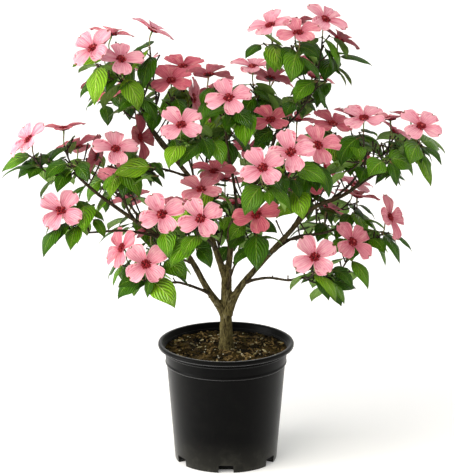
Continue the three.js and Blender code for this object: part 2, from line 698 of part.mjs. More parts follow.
// A bloom in one piece: four blunt bracts that meet in valleys round the foot of a raised button.
function bloomSolid(bloom) {
  const { centre, face } = bloom;
  const place = (k, out, side, height) => {
    const along = bractDirection(bloom, k);
    const across = face.clone().cross(along);
    const spot = centre.clone().addScaledVector(along, out).addScaledVector(across, side);
    return spot.addScaledVector(face, height);
  };
  const onBract = (k, share, half) => {
    const cup = radians(BRACT.cups[k % 2]);
    const reach = BRACT.length * share;
    return place(k, reach * Math.cos(cup), BRACT.width * half, reach * Math.sin(cup));
  };
  const valleys = BRACT_TURNS.map((k) => place(k - 0.5, BUTTON.radius * BRACT.valley, 0, 0));
  const outline = BRACT_TURNS.flatMap((k) => [
    valleys[k],
    onBract(k, BRACT.widest, -0.5),
    onBract(k, 1, -0.5 * BRACT.tipWidth),
    onBract(k, 1, 0.5 * BRACT.tipWidth),
    onBract(k, BRACT.widest, 0.5),
  ]);
  const foot = BRACT_TURNS.map((k) => place(k - 0.5, BUTTON.radius, 0, BRACT.thickness));
  const ring = outline.length;
  const top = ring + foot.length;
  const faces = BRACT_TURNS.flatMap((k) => {
    const edge = Array.from({ length: 6 }, (_, i) => (5 * k + i) % ring);
    const [here, there] = [ring + k, ring + ((k + 1) % 4)];
    const upper = edge.slice(1).flatMap((corner, i) => [edge[i], corner, i < 2 ? here : there]);
    const [valley, left, leftTip, rightTip, right, next] = edge;
    const lower = [next, left, valley, next, leftTip, left, next, rightTip, leftTip, next, right, rightTip];
    return [...upper, here, edge[2], there, here, there, top, ...lower];
  });
  const [first, second, third, fourth] = BRACT_TURNS.map((k) => (k * ring) / BRACT_TURNS.length);
  faces.push(first, third, second, first, fourth, third);
  const peak = place(0, 0, 0, BUTTON.height);
  return solidOf(new THREE.BufferGeometry().setFromPoints([...outline, ...foot, peak]).setIndex(faces));
}

function twigSolid({ points, radii }) {
  return solidOf(tube(points, radii.map((radius) => radius * TWIG.swell), TWIG.sides));
}

function massSolid({ blooms, twigs, ends, random }, mass) {
  const leaves = ends.flatMap((end) => leavesAt(end, mass, random));
  return largest(joined([...twigs.map(twigSolid), ...leaves.map(leafSolid), ...blooms.map(bloomSolid)]));
}

// ---- the plant --------------------------------------------------------------------------------

const finish = (color, roughness) => new THREE.MeshStandardMaterial({ color, roughness, metalness: 0 });
const FINISHES = {
  pot: finish(0x1d1d1b, 0.42),
  soil: finish(0x2a2313, 0.95),
  bark: finish(0x6c623e, 0.85),
  foliage: finish(0x4a7d22, 0.55),
};

const plant = new THREE.Group();
plant.add(meshOf("pot", potSolid(), FINISHES.pot));
plant.add(meshOf("soil", soilSolid(), FINISHES.soil));

// A bough starts on its parent's axis, and every limb made before it cuts it clear.
const limbNames = Object.keys(lines);
limbNames.forEach((name, i) => {
  const cleared = limbNames
    .slice(0, i)
    .reduce((solid, other) => solid.subtract(limbSolid(other, GAP)), limbSolid(name));
  plant.add(meshOf(name, largest(cleared), FINISHES.bark));
});

growths.forEach((growth, mass) => {
  plant.add(meshOf(`${growth.name}_mass`, massSolid(growth, mass), FINISHES.foliage));
});

export default plant;
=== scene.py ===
"""A pink flowering dogwood in bloom, in a ten-inch black nursery pot.

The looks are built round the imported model. Sizes are in millimetres until a mesh is made, with +Z up
and the front towards -Y. The limbs, twigs, leaves and blooms grow by the rule that gave the solids,
written again here and carried on to finer twigs and leaves within the same reach.
"""

from __future__ import annotations

import logging
import math
from collections.abc import Callable, Iterable, Mapping, Sequence
from dataclasses import dataclass, field, replace
from enum import Enum
from functools import partial

import bpy
import numpy as np
from mathutils import Matrix, Vector, noise

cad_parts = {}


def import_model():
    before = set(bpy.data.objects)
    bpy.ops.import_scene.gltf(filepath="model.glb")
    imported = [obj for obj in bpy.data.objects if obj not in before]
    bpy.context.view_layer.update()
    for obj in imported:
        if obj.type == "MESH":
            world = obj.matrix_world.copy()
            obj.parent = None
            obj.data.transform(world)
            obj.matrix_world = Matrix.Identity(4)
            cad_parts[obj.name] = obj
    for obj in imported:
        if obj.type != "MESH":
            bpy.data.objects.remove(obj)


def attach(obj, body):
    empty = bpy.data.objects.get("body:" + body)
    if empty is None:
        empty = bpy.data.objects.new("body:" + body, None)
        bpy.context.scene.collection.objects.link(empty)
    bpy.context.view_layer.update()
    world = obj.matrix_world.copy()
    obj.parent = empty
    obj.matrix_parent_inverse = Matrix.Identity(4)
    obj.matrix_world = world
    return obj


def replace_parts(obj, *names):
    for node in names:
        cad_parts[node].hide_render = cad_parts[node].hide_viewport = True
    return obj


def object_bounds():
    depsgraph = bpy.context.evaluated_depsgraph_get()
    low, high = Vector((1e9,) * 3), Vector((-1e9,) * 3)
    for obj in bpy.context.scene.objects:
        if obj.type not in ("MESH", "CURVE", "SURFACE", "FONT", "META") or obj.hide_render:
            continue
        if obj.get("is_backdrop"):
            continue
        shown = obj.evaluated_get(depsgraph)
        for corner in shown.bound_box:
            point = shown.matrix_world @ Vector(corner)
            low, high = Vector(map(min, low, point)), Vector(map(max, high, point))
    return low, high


LOG = logging.getLogger("dogwood")
MILLI = 0.001
UP = np.array((0.0, 0.0, 1.0))
Place = tuple[float, float, float]
Span = tuple[float, float]
Row = tuple[float, ...]
Faces = list[tuple[int, ...]]
Array = np.ndarray
Socket = bpy.types.NodeSocket
Material = bpy.types.Material


# ---- colours and nodes ----

SMOOTH = {"interpolation_type": "SMOOTHSTEP"}  # for a range that starts and ends gently
COLOURS = {"data_type": "RGBA", "output": 2}  # for a mix of two colours, which are its inputs 6 and 7


def linear(hex_colour: str) -> tuple[float, float, float, float]:
    """Turn an sRGB colour to linear light.

    Args:
        hex_colour: six hex digits with a leading #.

    Returns:
        Red, green, blue and an alpha of 1.
    """
    parts = [int(hex_colour[i : i + 2], 16) / 255 for i in (1, 3, 5)]
    red, green, blue = (p / 12.92 if p <= 0.04045 else ((p + 0.055) / 1.055) ** 2.4 for p in parts)
    return red, green, blue, 1.0


def per_metre(size_mm: float) -> float:
    """Give the scale of a pattern whose patches have this size in millimetres."""
    return 1 / (size_mm * MILLI)


def add_node(
    tree: bpy.types.NodeTree,
    kind: str,
    inputs: Mapping[int | str, object] | Sequence[object] = (),
    output: int | str = 0,
    **settings: object,
) -> Socket | None:
    """Add a node with its settings and its links.

    Args:
        tree: the node tree that gets it.
        kind: the node's type name, without its prefix.
        inputs: numbers, hex colours or sockets to link from, in order or by input name or number.
        output: the name or number of the output to give.
        settings: properties of the node by name.

    Returns:
        The output's socket, or nothing where the node has none.
    """
    node = tree.nodes.new(f"ShaderNode{kind}")
    for name, value in settings.items():
        setattr(node, name, value)
    for key, value in inputs.items() if isinstance(inputs, Mapping) else enumerate(inputs):
        if isinstance(value, Socket):
            tree.links.new(value, node.inputs[key])
        else:
            node.inputs[key].default_value = linear(value) if isinstance(value, str) else value
    return node.outputs[output] if len(node.outputs) else None


@dataclass
class Recipe:
    """A material in the making, with the few patterns of several nodes that the finishes share."""

    name: str
    material: Material = field(init=False)
    add: Callable[..., Socket] = field(init=False)

    def __post_init__(self) -> None:
        """Start the material with no nodes, and let add put them into it."""
        self.material = bpy.data.materials.new(self.name)
        self.material.use_nodes = True
        self.material.node_tree.nodes.clear()
        self.add = partial(add_node, self.material.node_tree)

    def object_place(self, stretch: Place = (1.0, 1.0, 1.0)) -> Socket:
        """Give the place on the object, scaled along each axis."""
        return self.add("Mapping", {"Vector": self.add("TexCoord", output="Object"), "Scale": stretch})

    def own_map(self) -> tuple[Socket, Socket]:
        """Give the place on the piece's own map.

        Returns:
            How far across it lies, from -1 over the middle to 1, and how far along, from 0 to 1.
        """
        spot = self.add("UVMap", uv_map=BladeMesh.MAP)
        across = self.add("SeparateXYZ", (spot,))
        side = self.add("Math", (across, 2.0, -1.0), operation="MULTIPLY_ADD")
        return side, across.node.outputs[1]

    def finish(
        self,
        colour: object,
        roughness: object,
        height: object = None,
        relief_mm: float = 0.0,
        **shader: object,
    ) -> Material:
        """Close the material with its shader.

        Args:
            colour: base colour or its socket.
            roughness: number or socket.
            height: socket of the relief from 0 to 1, if it has one.
            relief_mm: how deep the relief is.
            shader: further values of the shader, set on its own sockets, with _ for a space.

        Returns:
            The finished material.
        """
        inputs: dict[int | str, object] = {"Base Color": colour, "Roughness": roughness}
        if height is not None:
            bump = {"Height": height, "Distance": relief_mm * MILLI, "Strength": 1.0}
            inputs["Normal"] = self.add("Bump", bump)
        inputs.update({name.replace("_", " "): value for name, value in shader.items()})
        self.add("OutputMaterial", {"Surface": self.add("BsdfPrincipled", inputs)})
        return self.material


# ---- finishes ----


@dataclass(frozen=True)
class MouldedPolypropylene:
    """Black polypropylene, injection moulded."""

    # Moulded polypropylene is dull black with a waxy gloss at its edges, and dust clouds it; its foot is
    # painted paler, partly dried splashes and partly painted reflection of the white floor.
    colour: str = "#020202"
    dust_and_reflection: str = "#383731"
    roughness: Span = (0.36, 0.46)
    cloud_mm: float = 28.0
    streak_mm: float = 9.0  # across a dried run of water, which is eight times as long
    film: float = 0.025  # how strongly the dust shows all over
    foot_reach: float = 70.0  # how high the paler foot reaches, in millimetres
    foot_dust_and_reflection: float = 0.5
    grain_mm: float = 0.9  # the mould's grain is about 0.1 mm, coarsened to show
    grain_depth_mm: float = 0.05

    def make(self) -> Material:
        """Build the material.

        Returns:
            The finished material.
        """
        recipe = Recipe("black_polypropylene_moulded")
        add, place = recipe.add, recipe.object_place()
        cloud = add("TexNoise", {
            "Vector": place, "Scale": per_metre(self.cloud_mm), "Detail": 4.0, "Roughness": 0.6})
        cloud = add("MapRange", (cloud, 0.42, 0.75), **SMOOTH)
        hanging = recipe.object_place((1.0, 1.0, 0.12))
        streak = add("TexNoise", {"Vector": hanging, "Scale": per_metre(self.streak_mm), "Detail": 3.0})
        streak = add("MapRange", (streak, 0.5, 0.85), **SMOOTH)
        film = add("Math", (cloud, streak), operation="ADD")
        film = add("Math", (film, self.film), operation="MULTIPLY")
        # paler towards the foot: partly dried splashes, partly painted reflection of the floor
        foot = add("MapRange", (add("SeparateXYZ", (place,), 2), self.foot_reach * MILLI, 0.0), **SMOOTH)
        foot = add("Math", (foot, self.foot_dust_and_reflection), operation="MULTIPLY")
        uneven = add("Math", (cloud, 0.7), operation="ADD")
        foot_dust_and_reflection = add("Math", (foot, uneven), operation="MULTIPLY")
        dust_and_reflection_share = add("Math", (film, foot_dust_and_reflection), operation="ADD", use_clamp=True)
        colour = add("Mix", {0: dust_and_reflection_share, 6: self.colour, 7: self.dust_and_reflection}, **COLOURS)
        low, high = self.roughness
        rough = add("Math", (cloud, high - low, low), operation="MULTIPLY_ADD")
        fine = add("TexNoise", {"Vector": place, "Scale": per_metre(self.grain_mm), "Detail": 2.0})
        gloss = {"Specular_IOR_Level": 0.034, "Sheen_Weight": 0.4, "Sheen_Roughness": 0.38}
        return recipe.finish(colour, rough, fine, self.grain_depth_mm, **gloss)


@dataclass(frozen=True)
class PottingMix:
    """Composted bark and peat, loose and moist."""

    # Moist peat is almost black, with lighter fibres and crumbs where it has dried.
    damp: str = "#0a0803"
    dry: str = "#4b3c1c"
    crumb_mm: float = 3.2
    patch_mm: float = 30.0
    relief_mm: float = 1.6

    def make(self) -> Material:
        """Build the material.

        Returns:
            The finished material.
        """
        recipe = Recipe("peat_and_bark_mix_loose")
        add, place = recipe.add, recipe.object_place()
        crumbs = add("TexNoise", {
            "Vector": place, "Scale": per_metre(self.crumb_mm), "Detail": 5.0, "Roughness": 0.7})
        patches = add("TexNoise", {"Vector": place, "Scale": per_metre(self.patch_mm), "Detail": 3.0})
        dried = add("Math", (crumbs, patches), operation="ADD")
        dried = add("MapRange", (dried, 0.86, 1.16), **SMOOTH)
        colour = add("Mix", {0: dried, 6: self.damp, 7: self.dry}, **COLOURS)
        return recipe.finish(colour, 0.93, crumbs, self.relief_mm, Specular_IOR_Level=0.08)


@dataclass(frozen=True)
class MilledBark:
    """Pine bark chips, milled."""

    # Chips show fibrous brown inner bark, paler where they have dried and dark where they are wet.
    name: str
    dark: str
    pale: str
    wet: str = "#0b0804"
    fibre_mm: float = 1.6
    chip_mm: float = 6.0
    wet_mm: float = 42.0
    relief_mm: float = 0.5

    def make(self) -> Material:
        """Build the material.

        Returns:
            The finished material.
        """
        recipe = Recipe(f"pine_bark_milled_{self.name}")
        add, place = recipe.add, recipe.object_place()
        lengthwise = recipe.object_place((1.0, 0.25, 0.4))
        fibres = add("TexNoise", {"Vector": lengthwise, "Scale": per_metre(self.fibre_mm), "Detail": 3.0})
        dried = add("TexNoise", {"Vector": place, "Scale": per_metre(self.chip_mm), "Detail": 3.0})
        dried = add("MapRange", (dried, 0.35, 0.7), **SMOOTH)
        colour = add("Mix", {0: dried, 6: self.dark, 7: self.pale}, **COLOURS)
        wet = add("TexNoise", {"Vector": place, "Scale": per_metre(self.wet_mm), "Detail": 1.0})
        wet = add("MapRange", (wet, 0.54, 0.42), **SMOOTH)
        wet = add("Math", (wet, 0.62), operation="MULTIPLY")
        colour = add("Mix", {0: wet, 6: colour, 7: self.wet}, **COLOURS)
        return recipe.finish(colour, 0.88, fibres, self.relief_mm, Specular_IOR_Level=0.15)


@dataclass(frozen=True)
class RidgedBark:
    """Young dogwood bark, grown in shallow ridges."""

    # Bark is matt, dark brown on young wood and pale olive brown on older. Its fissures are darker, partly
    # their own colour and partly painted shade, and pale patches on the raised ridges are partly painted
    # highlight.
    fissure_and_shade: tuple[str, str] = ("#1c160e", "#2d2611")  # on the thinnest wood and on the thickest
    ridge: tuple[str, str] = ("#453a28", "#695f39")
    patch_and_highlight: tuple[str, str] = ("#5a503b", "#878062")
    fleck_mm: float = 2.2
    patch_mm: float = 13.0
    relief_mm: float = 0.7

    def make(self) -> Material:
        """Build the material.

        Returns:
            The finished material.
        """
        recipe = Recipe("dogwood_bark_ridged")
        add = recipe.add
        relief = add("Attribute", output="Fac", attribute_name=LimbBark.RELIEF)
        age = add("Attribute", output="Fac", attribute_name=LimbBark.AGE)
        fissure_and_shade, ridge, patch_and_highlight = (
            add("Mix", {0: age, 6: young, 7: old}, **COLOURS)
            for young, old in (self.fissure_and_shade, self.ridge, self.patch_and_highlight)
        )
        upright = recipe.object_place((1.0, 1.0, 0.28))
        fibres = add("TexNoise", {
            "Vector": upright, "Scale": per_metre(self.fleck_mm), "Detail": 4.0, "Roughness": 0.65})
        # painted shade: the fissures between the raised ridges are coloured darker
        raised = add("MapRange", (relief, 0.08, 0.72), **SMOOTH)
        flecked = add("MapRange", (fibres, 0.25, 0.6), **SMOOTH)
        height = add("Math", (raised, flecked), operation="MULTIPLY")
        colour = add("Mix", {0: height, 6: fissure_and_shade, 7: ridge}, **COLOURS)
        tall = recipe.object_place((1.0, 1.0, 0.5))
        patches = add("TexNoise", {"Vector": tall, "Scale": per_metre(self.patch_mm), "Detail": 2.0})
        patches = add("MapRange", (patches, 0.52, 0.7), **SMOOTH)
        # painted highlight: pale patches only on the raised ridges
        lit = add("Math", (patches, height), operation="MULTIPLY")
        lit = add("Math", (lit, 0.6), operation="MULTIPLY")
        colour = add("Mix", {0: lit, 6: colour, 7: patch_and_highlight}, **COLOURS)
        return recipe.finish(colour, 0.86, fibres, self.relief_mm, Specular_IOR_Level=0.12)


@dataclass(frozen=True)
class CloudedSkin:
    """A small part in one natural colour, clouded with another."""

    # Flower buttons and scarred bract tips are too small to show more than a clouded colour.
    name: str
    colour: str
    cloud: str
    cloud_mm: float = 3.0
    detail: float = 2.0
    clouding: Span = (0.35, 0.7)  # where the cloud starts, and where it is full
    roughness: float = 0.6
    specular: float = 0.2

    def make(self) -> Material:
        """Build the material.

        Returns:
            The finished material.
        """
        recipe = Recipe(self.name)
        add, place = recipe.add, recipe.object_place()
        share = add("TexNoise", {
            "Vector": place, "Scale": per_metre(self.cloud_mm), "Detail": self.detail})
        share = add("MapRange", (share, *self.clouding), **SMOOTH)
        colour = add("Mix", {0: share, 6: self.colour, 7: self.cloud}, **COLOURS)
        return recipe.finish(colour, self.roughness, Specular_IOR_Level=self.specular)


@dataclass(frozen=True)
class TwigBark(CloudedSkin):
    """This year's twig bark, grown smooth."""

    # A dogwood's young wood is smooth and dark, purplish to olive brown, with a slight bloom.
    name: str = "dogwood_twig_smooth"
    colour: str = "#1f1710"
    cloud: str = "#453828"
    cloud_mm: float = 7.0
    detail: float = 3.0


@dataclass(frozen=True)
class GreenStem(CloudedSkin):
    """Leaf stalk and flower stalk, soft and green."""

    # Stalks are soft and green, blushed brownish red on the sunny side.
    name: str = "dogwood_stalk_soft"
    colour: str = "#5f7a2c"
    cloud: str = "#7a5230"
    cloud_mm: float = 11.0
    detail: float = 3.0
    clouding: Span = (0.4, 0.65)
    roughness: float = 0.55
    specular: float = 0.5


@dataclass(frozen=True)
class ExpandedPerlite(CloudedSkin):
    """Perlite, expanded by heat."""

    # Perlite grains are matt, chalky and off white, stained a little by the mix.
    name: str = "perlite_expanded"
    colour: str = "#c6bfa6"
    cloud: str = "#8d8266"
    cloud_mm: float = 2.2
    detail: float = 3.0
    clouding: Span = (0.5, 0.8)
    roughness: float = 0.9
    specular: float = 0.5


@dataclass(frozen=True)
class LeafFace:
    """One face of a dogwood leaf, with its curved side veins."""

    # The upper face is a waxy mid green with sunk veins and painted shade beside each vein, and the under
    # face matt and paler.
    name: str
    colour: str
    vein: str
    roughness: float
    relief_mm: float
    mottled: str = "#234506"
    shaded: str = "#1b3a02"  # painted shade beside each vein, where the blade dips
    mottle_mm: float = 16.0
    veins: float = 6.0  # side veins on each half, at the spacing the real leaf has
    sweep: float = 0.62  # how far a vein runs towards the tip on its way to the margin
    bend: float = 1.2  # how it curves on its way

    def make(self) -> Material:
        """Build the material.

        Returns:
            The finished material.
        """
        recipe = Recipe(f"dogwood_leaf_{self.name}")
        add = recipe.add
        side, length = recipe.own_map()
        away = add("Math", (side,), operation="ABSOLUTE")
        bent = add("Math", (away, self.bend), operation="POWER")
        swept = add("Math", (bent, -self.sweep, length), operation="MULTIPLY_ADD")
        bands = add("Math", (swept, self.veins), operation="MULTIPLY")
        bands = add("Math", (bands, 0.5), operation="PINGPONG")
        side_vein = add("MapRange", (bands, 0.1, 0.0), **SMOOTH)
        inland = add("MapRange", (away, 1.0, 0.55), **SMOOTH)
        side_vein = add("Math", (side_vein, inland), operation="MULTIPLY")
        midrib = add("MapRange", (away, 0.075, 0.02), **SMOOTH)
        lines = add("Math", (side_vein, midrib), operation="MAXIMUM")
        mottle = add("TexNoise", {
            "Vector": recipe.object_place(), "Scale": per_metre(self.mottle_mm), "Detail": 3.0})
        mottle = add("MapRange", (mottle, 0.3, 0.75), **SMOOTH)
        mottle = add("Math", (mottle, 0.24), operation="MULTIPLY")
        shade = add("Mix", {0: mottle, 6: self.colour, 7: self.mottled}, **COLOURS)
        # painted shade: the blade is coloured darker beside each vein, where it dips
        vein_flank_shade = add("MapRange", (bands, 0.34, 0.04), **SMOOTH)
        vein_flank_shade = add("Math", (vein_flank_shade, 0.36), operation="MULTIPLY")
        shade = add("Mix", {0: vein_flank_shade, 6: shade, 7: self.shaded}, **COLOURS)
        shown = add("Math", (lines, 0.5), operation="MULTIPLY")
        colour = add("Mix", {0: shown, 6: shade, 7: self.vein}, **COLOURS)
        quilt = add("Math", (bands, 2.0), operation="MULTIPLY")
        quilt = add("Math", (quilt, lines), operation="SUBTRACT")
        return recipe.finish(colour, self.roughness, quilt, self.relief_mm, Specular_IOR_Level=0.2)


@dataclass(frozen=True)
class BractFace:
    """One face of a dogwood bract, a petal-like leaf with lengthwise veins."""

    # Bracts are matt and papery, with fine lengthwise veins and a paler margin, and paler and deeper
    # lengthwise streaks that are partly their own and partly painted highlight and painted shade.
    name: str
    colour: str
    vein: str
    margin: str
    veins: float = 4.5  # on each half
    stray_mm: float = 9.0  # between the bends of a vein
    relief_mm: float = 0.9
    streaks: Span = (2.8, 0.8)  # how many streaks of painted highlight and shade lie across half a bract and along it
    change_mm: float = 80.0  # over this reach the streaks change from bract to bract
    change: float = 14.0

    def make(self) -> Material:
        """Build the material.

        Returns:
            The finished material.
        """
        recipe = Recipe(f"dogwood_bract_{self.name}")
        add = recipe.add
        side, length = recipe.own_map()
        stray = add("TexNoise", {
            "Vector": recipe.object_place(), "Scale": per_metre(self.stray_mm), "Detail": 2.0})
        strayed = add("Math", (stray, 0.16, side), operation="MULTIPLY_ADD")
        furrow = add("Math", (strayed, self.veins), operation="MULTIPLY")
        furrow = add("Math", (furrow, 0.5), operation="PINGPONG")
        lines = add("MapRange", (furrow, 0.3, 0.0), **SMOOTH)
        inland = add("MapRange", (length, 1.05, 0.55), **SMOOTH)
        lines = add("Math", (lines, inland), operation="MULTIPLY")
        lines = add("Math", (lines, 0.3), operation="MULTIPLY")
        streak = add("TexNoise", {
            "Vector": self.streak_place(recipe, side, length), "Scale": 1.0, "Detail": 3.0,
            "Roughness": 0.6})
        # painted shade in the deeper streaks, and painted highlight in the paler ones
        deep_streak_and_shade = add("MapRange", (streak, 0.48, 0.68), **SMOOTH)
        deep_streak_and_shade = add("Math", (deep_streak_and_shade, 0.4), operation="MULTIPLY")
        pale = add("MapRange", (streak, 0.5, 0.34), **SMOOTH)
        pale = add("Math", (pale, 0.42), operation="MULTIPLY")
        face = add("Mix", {0: pale, 6: self.colour, 7: self.margin}, **COLOURS)
        heart = add("MapRange", (length, 0.62, 0.12), **SMOOTH)
        heart = add("Math", (heart, 0.55), operation="MULTIPLY")
        tinted = add("Math", (lines, deep_streak_and_shade), operation="ADD")
        tinted = add("Math", (tinted, heart), operation="ADD", use_clamp=True)
        colour = add("Mix", {0: tinted, 6: face, 7: self.vein}, **COLOURS)
        away = add("Math", (side,), operation="ABSOLUTE")
        edge = add("MapRange", (away, 0.86, 1.0), **SMOOTH)
        end = add("MapRange", (length, 0.93, 1.0), **SMOOTH)
        rim = add("Math", (edge, end), operation="MAXIMUM")
        rim = add("Math", (rim, 0.45), operation="MULTIPLY")
        colour = add("Mix", {0: rim, 6: colour, 7: self.margin}, **COLOURS)
        return recipe.finish(colour, 0.62, furrow, self.relief_mm, Specular_IOR_Level=0.15)

    def streak_place(self, recipe: Recipe, side: Socket, length: Socket) -> Socket:
        """Give the place at which the lengthwise streaks of painted highlight and shade are read, which
        differs from bract to bract.

        Args:
            recipe: the material in the making.
            side: how far across the bract.
            length: how far along it.

        Returns:
            The place's socket.
        """
        add = recipe.add
        across = add("Math", (side, self.streaks[0]), operation="MULTIPLY")
        lengthwise = add("Math", (length, self.streaks[1]), operation="MULTIPLY")
        shift = add("TexNoise", {
            "Vector": recipe.object_place(), "Scale": per_metre(self.change_mm), "Detail": 1.0})
        shift = add("Math", (shift, self.change), operation="MULTIPLY")
        return add("CombineXYZ", (across, lengthwise, shift))


@dataclass(frozen=True)
class StudioWhite:
    """Opal acrylic floor, sanded matt and faintly lit from below."""

    # Sanded opal acrylic scatters all light evenly, and its own faint glow thins the shadows.
    colour: str = "#fbfaf8"
    glow: float = 0.13

    def make(self) -> Material:
        """Build the material."""
        lit = {"Emission_Color": "#ffffff", "Emission_Strength": self.glow}
        return Recipe("opal_acrylic_sanded").finish(self.colour, 0.95, Specular_IOR_Level=0.1, **lit)


class ToneAndShade(Enum):
    """How deep a bloom's pink is: partly its own colour, and partly painted shade on blooms that lie in
    shade.
    """

    LIGHT = "L"
    MID = "M"
    DEEP = "D"


# ---- repeatable draws and small geometry ----


class Draws:
    """Repeatable draws between 0 and 1."""

    def __init__(self, seed: int) -> None:
        """Start the draws of one seed.

        Args:
            seed: its number.
        """
        self.state = seed * 7919 + 12345
        for _ in range(3):
            self.next()

    def next(self) -> float:
        """Draw a number between 0 and 1."""
        self.state = (self.state * 48271) % 2147483647
        return self.state / 2147483647

    def between(self, low: float, high: float) -> float:
        """Draw a number between two others."""
        return low + (high - low) * self.next()


def unit(v: Array) -> Array:
    """Give a vector's direction."""
    return v / np.linalg.norm(v)


def heading(turn: float) -> Array:
    """Give a level direction, turned from the front towards the right."""
    return np.array((math.sin(turn), -math.cos(turn), 0.0))


def along(points: Array) -> Array:
    """Give the direction of a polyline at each of its points.

    Args:
        points: its points.

    Returns:
        The directions.
    """
    after = np.vstack([points[1:], points[-1:]])
    before = np.vstack([points[:1], points[:-1]])
    ways = after - before
    return ways / np.linalg.norm(ways, axis=1, keepdims=True)


def spline(points: Array, steps: int) -> Array:
    """Give a smooth curve through points.

    Args:
        points: places that it passes.
        steps: how many equal steps it is given in.

    Returns:
        The places on the curve, one more than the steps.
    """
    spans = len(points) - 1
    held = np.vstack([2 * points[0] - points[1], points, 2 * points[-1] - points[-2]])
    places = []
    for step in range(steps + 1):
        run = spans * step / steps
        i = min(int(run), spans - 1)
        w = run - i
        before, low, high, after = held[i : i + 4]
        out, into = (high - before) / 2, (after - low) / 2
        bend = (-3 * low + 3 * high - 2 * out - into) * w**2
        places.append(low + out * w + bend + (2 * low - 2 * high + out + into) * w**3)
    return np.array(places)


def arc(start: Array, bend: Array, end: Array, shares: Iterable[float]) -> Array:
    """Give the places at some shares of a curve that bends once."""
    return np.array([(1 - t) ** 2 * start + 2 * (1 - t) * t * bend + t**2 * end for t in shares])


def tube(points: Array, radii: Array, sides: int) -> tuple[Array, Faces]:
    """Give a closed tube along points, with rounded-off ends.

    Args:
        points: its middle line.
        radii: its radius at each of them.
        sides: how many sides it has.

    Returns:
        Its corners and its faces.
    """
    ways = along(points)
    across = np.array((1.0, 0.0, 0.0)) if abs(ways[0][0]) < 0.8 else np.array((0.0, 1.0, 0.0))
    angles = 2 * math.pi * np.arange(sides) / sides
    rings = []
    for point, way, radius in zip(points, ways, radii):
        across = unit(across - way * np.dot(across, way))
        beside = np.cross(way, across)
        spokes = np.outer(np.cos(angles), across) + np.outer(np.sin(angles), beside)
        rings.append(point + radius * spokes)
    nose = points[-1] + ways[-1] * radii[-1] * 0.6
    corners = np.vstack([*rings, points[0] - ways[0] * radii[0] * 0.3, nose])
    last = (len(points) - 1) * sides
    tail, tip = last + sides, last + sides + 1
    faces: Faces = []
    for ring in range(0, last, sides):
        for side in range(sides):
            a, b = ring + side, ring + (side + 1) % sides
            faces.append((a, b, b + sides, a + sides))
    for side in range(sides):
        after = (side + 1) % sides
        faces.append((after, side, tail))
        faces.append((last + side, last + after, tip))
    return corners, faces


@dataclass
class Stock:
    """Closed shapes gathered into the mesh of one piece."""

    corners: list[Array] = field(default_factory=list)
    maps: list[Array] = field(default_factory=list)
    faces: Faces = field(default_factory=list)
    marks: list[int] = field(default_factory=list)  # the number of each face's finish
    count: int = 0

    def add(
        self,
        corners: Array,
        faces: Iterable[Sequence[int]],
        mark: int | Sequence[int] = 0,
        spots: Array | None = None,
    ) -> None:
        """Add one shape.

        Args:
            corners: its corners in millimetres.
            faces: its faces, as numbers of its corners.
            mark: the number of its finish, or one for each face.
            spots: where each corner lies on the piece's own map.
        """
        moved = [tuple(c + self.count for c in face) for face in faces]
        self.corners.append(corners)
        self.maps.append(np.zeros((len(corners), 2)) if spots is None else spots)
        self.faces.extend(moved)
        self.marks.extend([mark] * len(moved) if isinstance(mark, int) else mark)
        self.count += len(corners)

    def piece(self, name: str, finishes: Sequence[Material], crease: float = 50.0) -> bpy.types.Object:
        """Make the piece.

        Args:
            name: its name.
            finishes: its materials, by mark.
            crease: the angle in degrees past which an edge stays sharp.

        Returns:
            The piece, in place.
        """
        mesh = bpy.data.meshes.new(name)
        mesh.from_pydata((np.vstack(self.corners) * MILLI).tolist(), [], self.faces)
        mesh.polygons.foreach_set("material_index", self.marks)
        layer = mesh.uv_layers.new(name=BladeMesh.MAP)
        corner_of = np.empty(len(mesh.loops), dtype=np.int32)
        mesh.loops.foreach_get("vertex_index", corner_of)
        layer.data.foreach_set("uv", np.vstack(self.maps)[corner_of].ravel())
        for finish in finishes:
            mesh.materials.append(finish)
        made = bpy.data.objects.new(name, mesh)
        bpy.context.scene.collection.objects.link(made)
        select_only(made)
        bpy.ops.object.shade_smooth_by_angle(angle=math.radians(crease))
        return made


def select_only(made: bpy.types.Object) -> None:
    """Select one object and nothing else, and make it the active one.

    Args:
        made: the object.
    """
    bpy.ops.object.select_all(action="DESELECT")
    made.select_set(True)
    bpy.context.view_layer.objects.active = made


def report(made: bpy.types.Object) -> bpy.types.Object:
    """Let a finished piece ride on the part and log it.

    Args:
        made: the piece.

    Returns:
        The same piece.
    """
    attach(made, "root")
    LOG.info("%s: %d faces", made.name, len(made.data.polygons))
    return made


# ---- trunk and boughs ----


@dataclass
class Bough:
    """A bough: what carries it, the height it leaves at, its radii and the places it passes."""

    on: str
    leaves: float
    root: float
    tip: float
    via: list[Place]


@dataclass
class Line:
    """A limb's middle line: in the long steps of its solid, and in short smooth ones."""

    points: Array
    radii: Array
    fine: Array
    fine_radii: Array


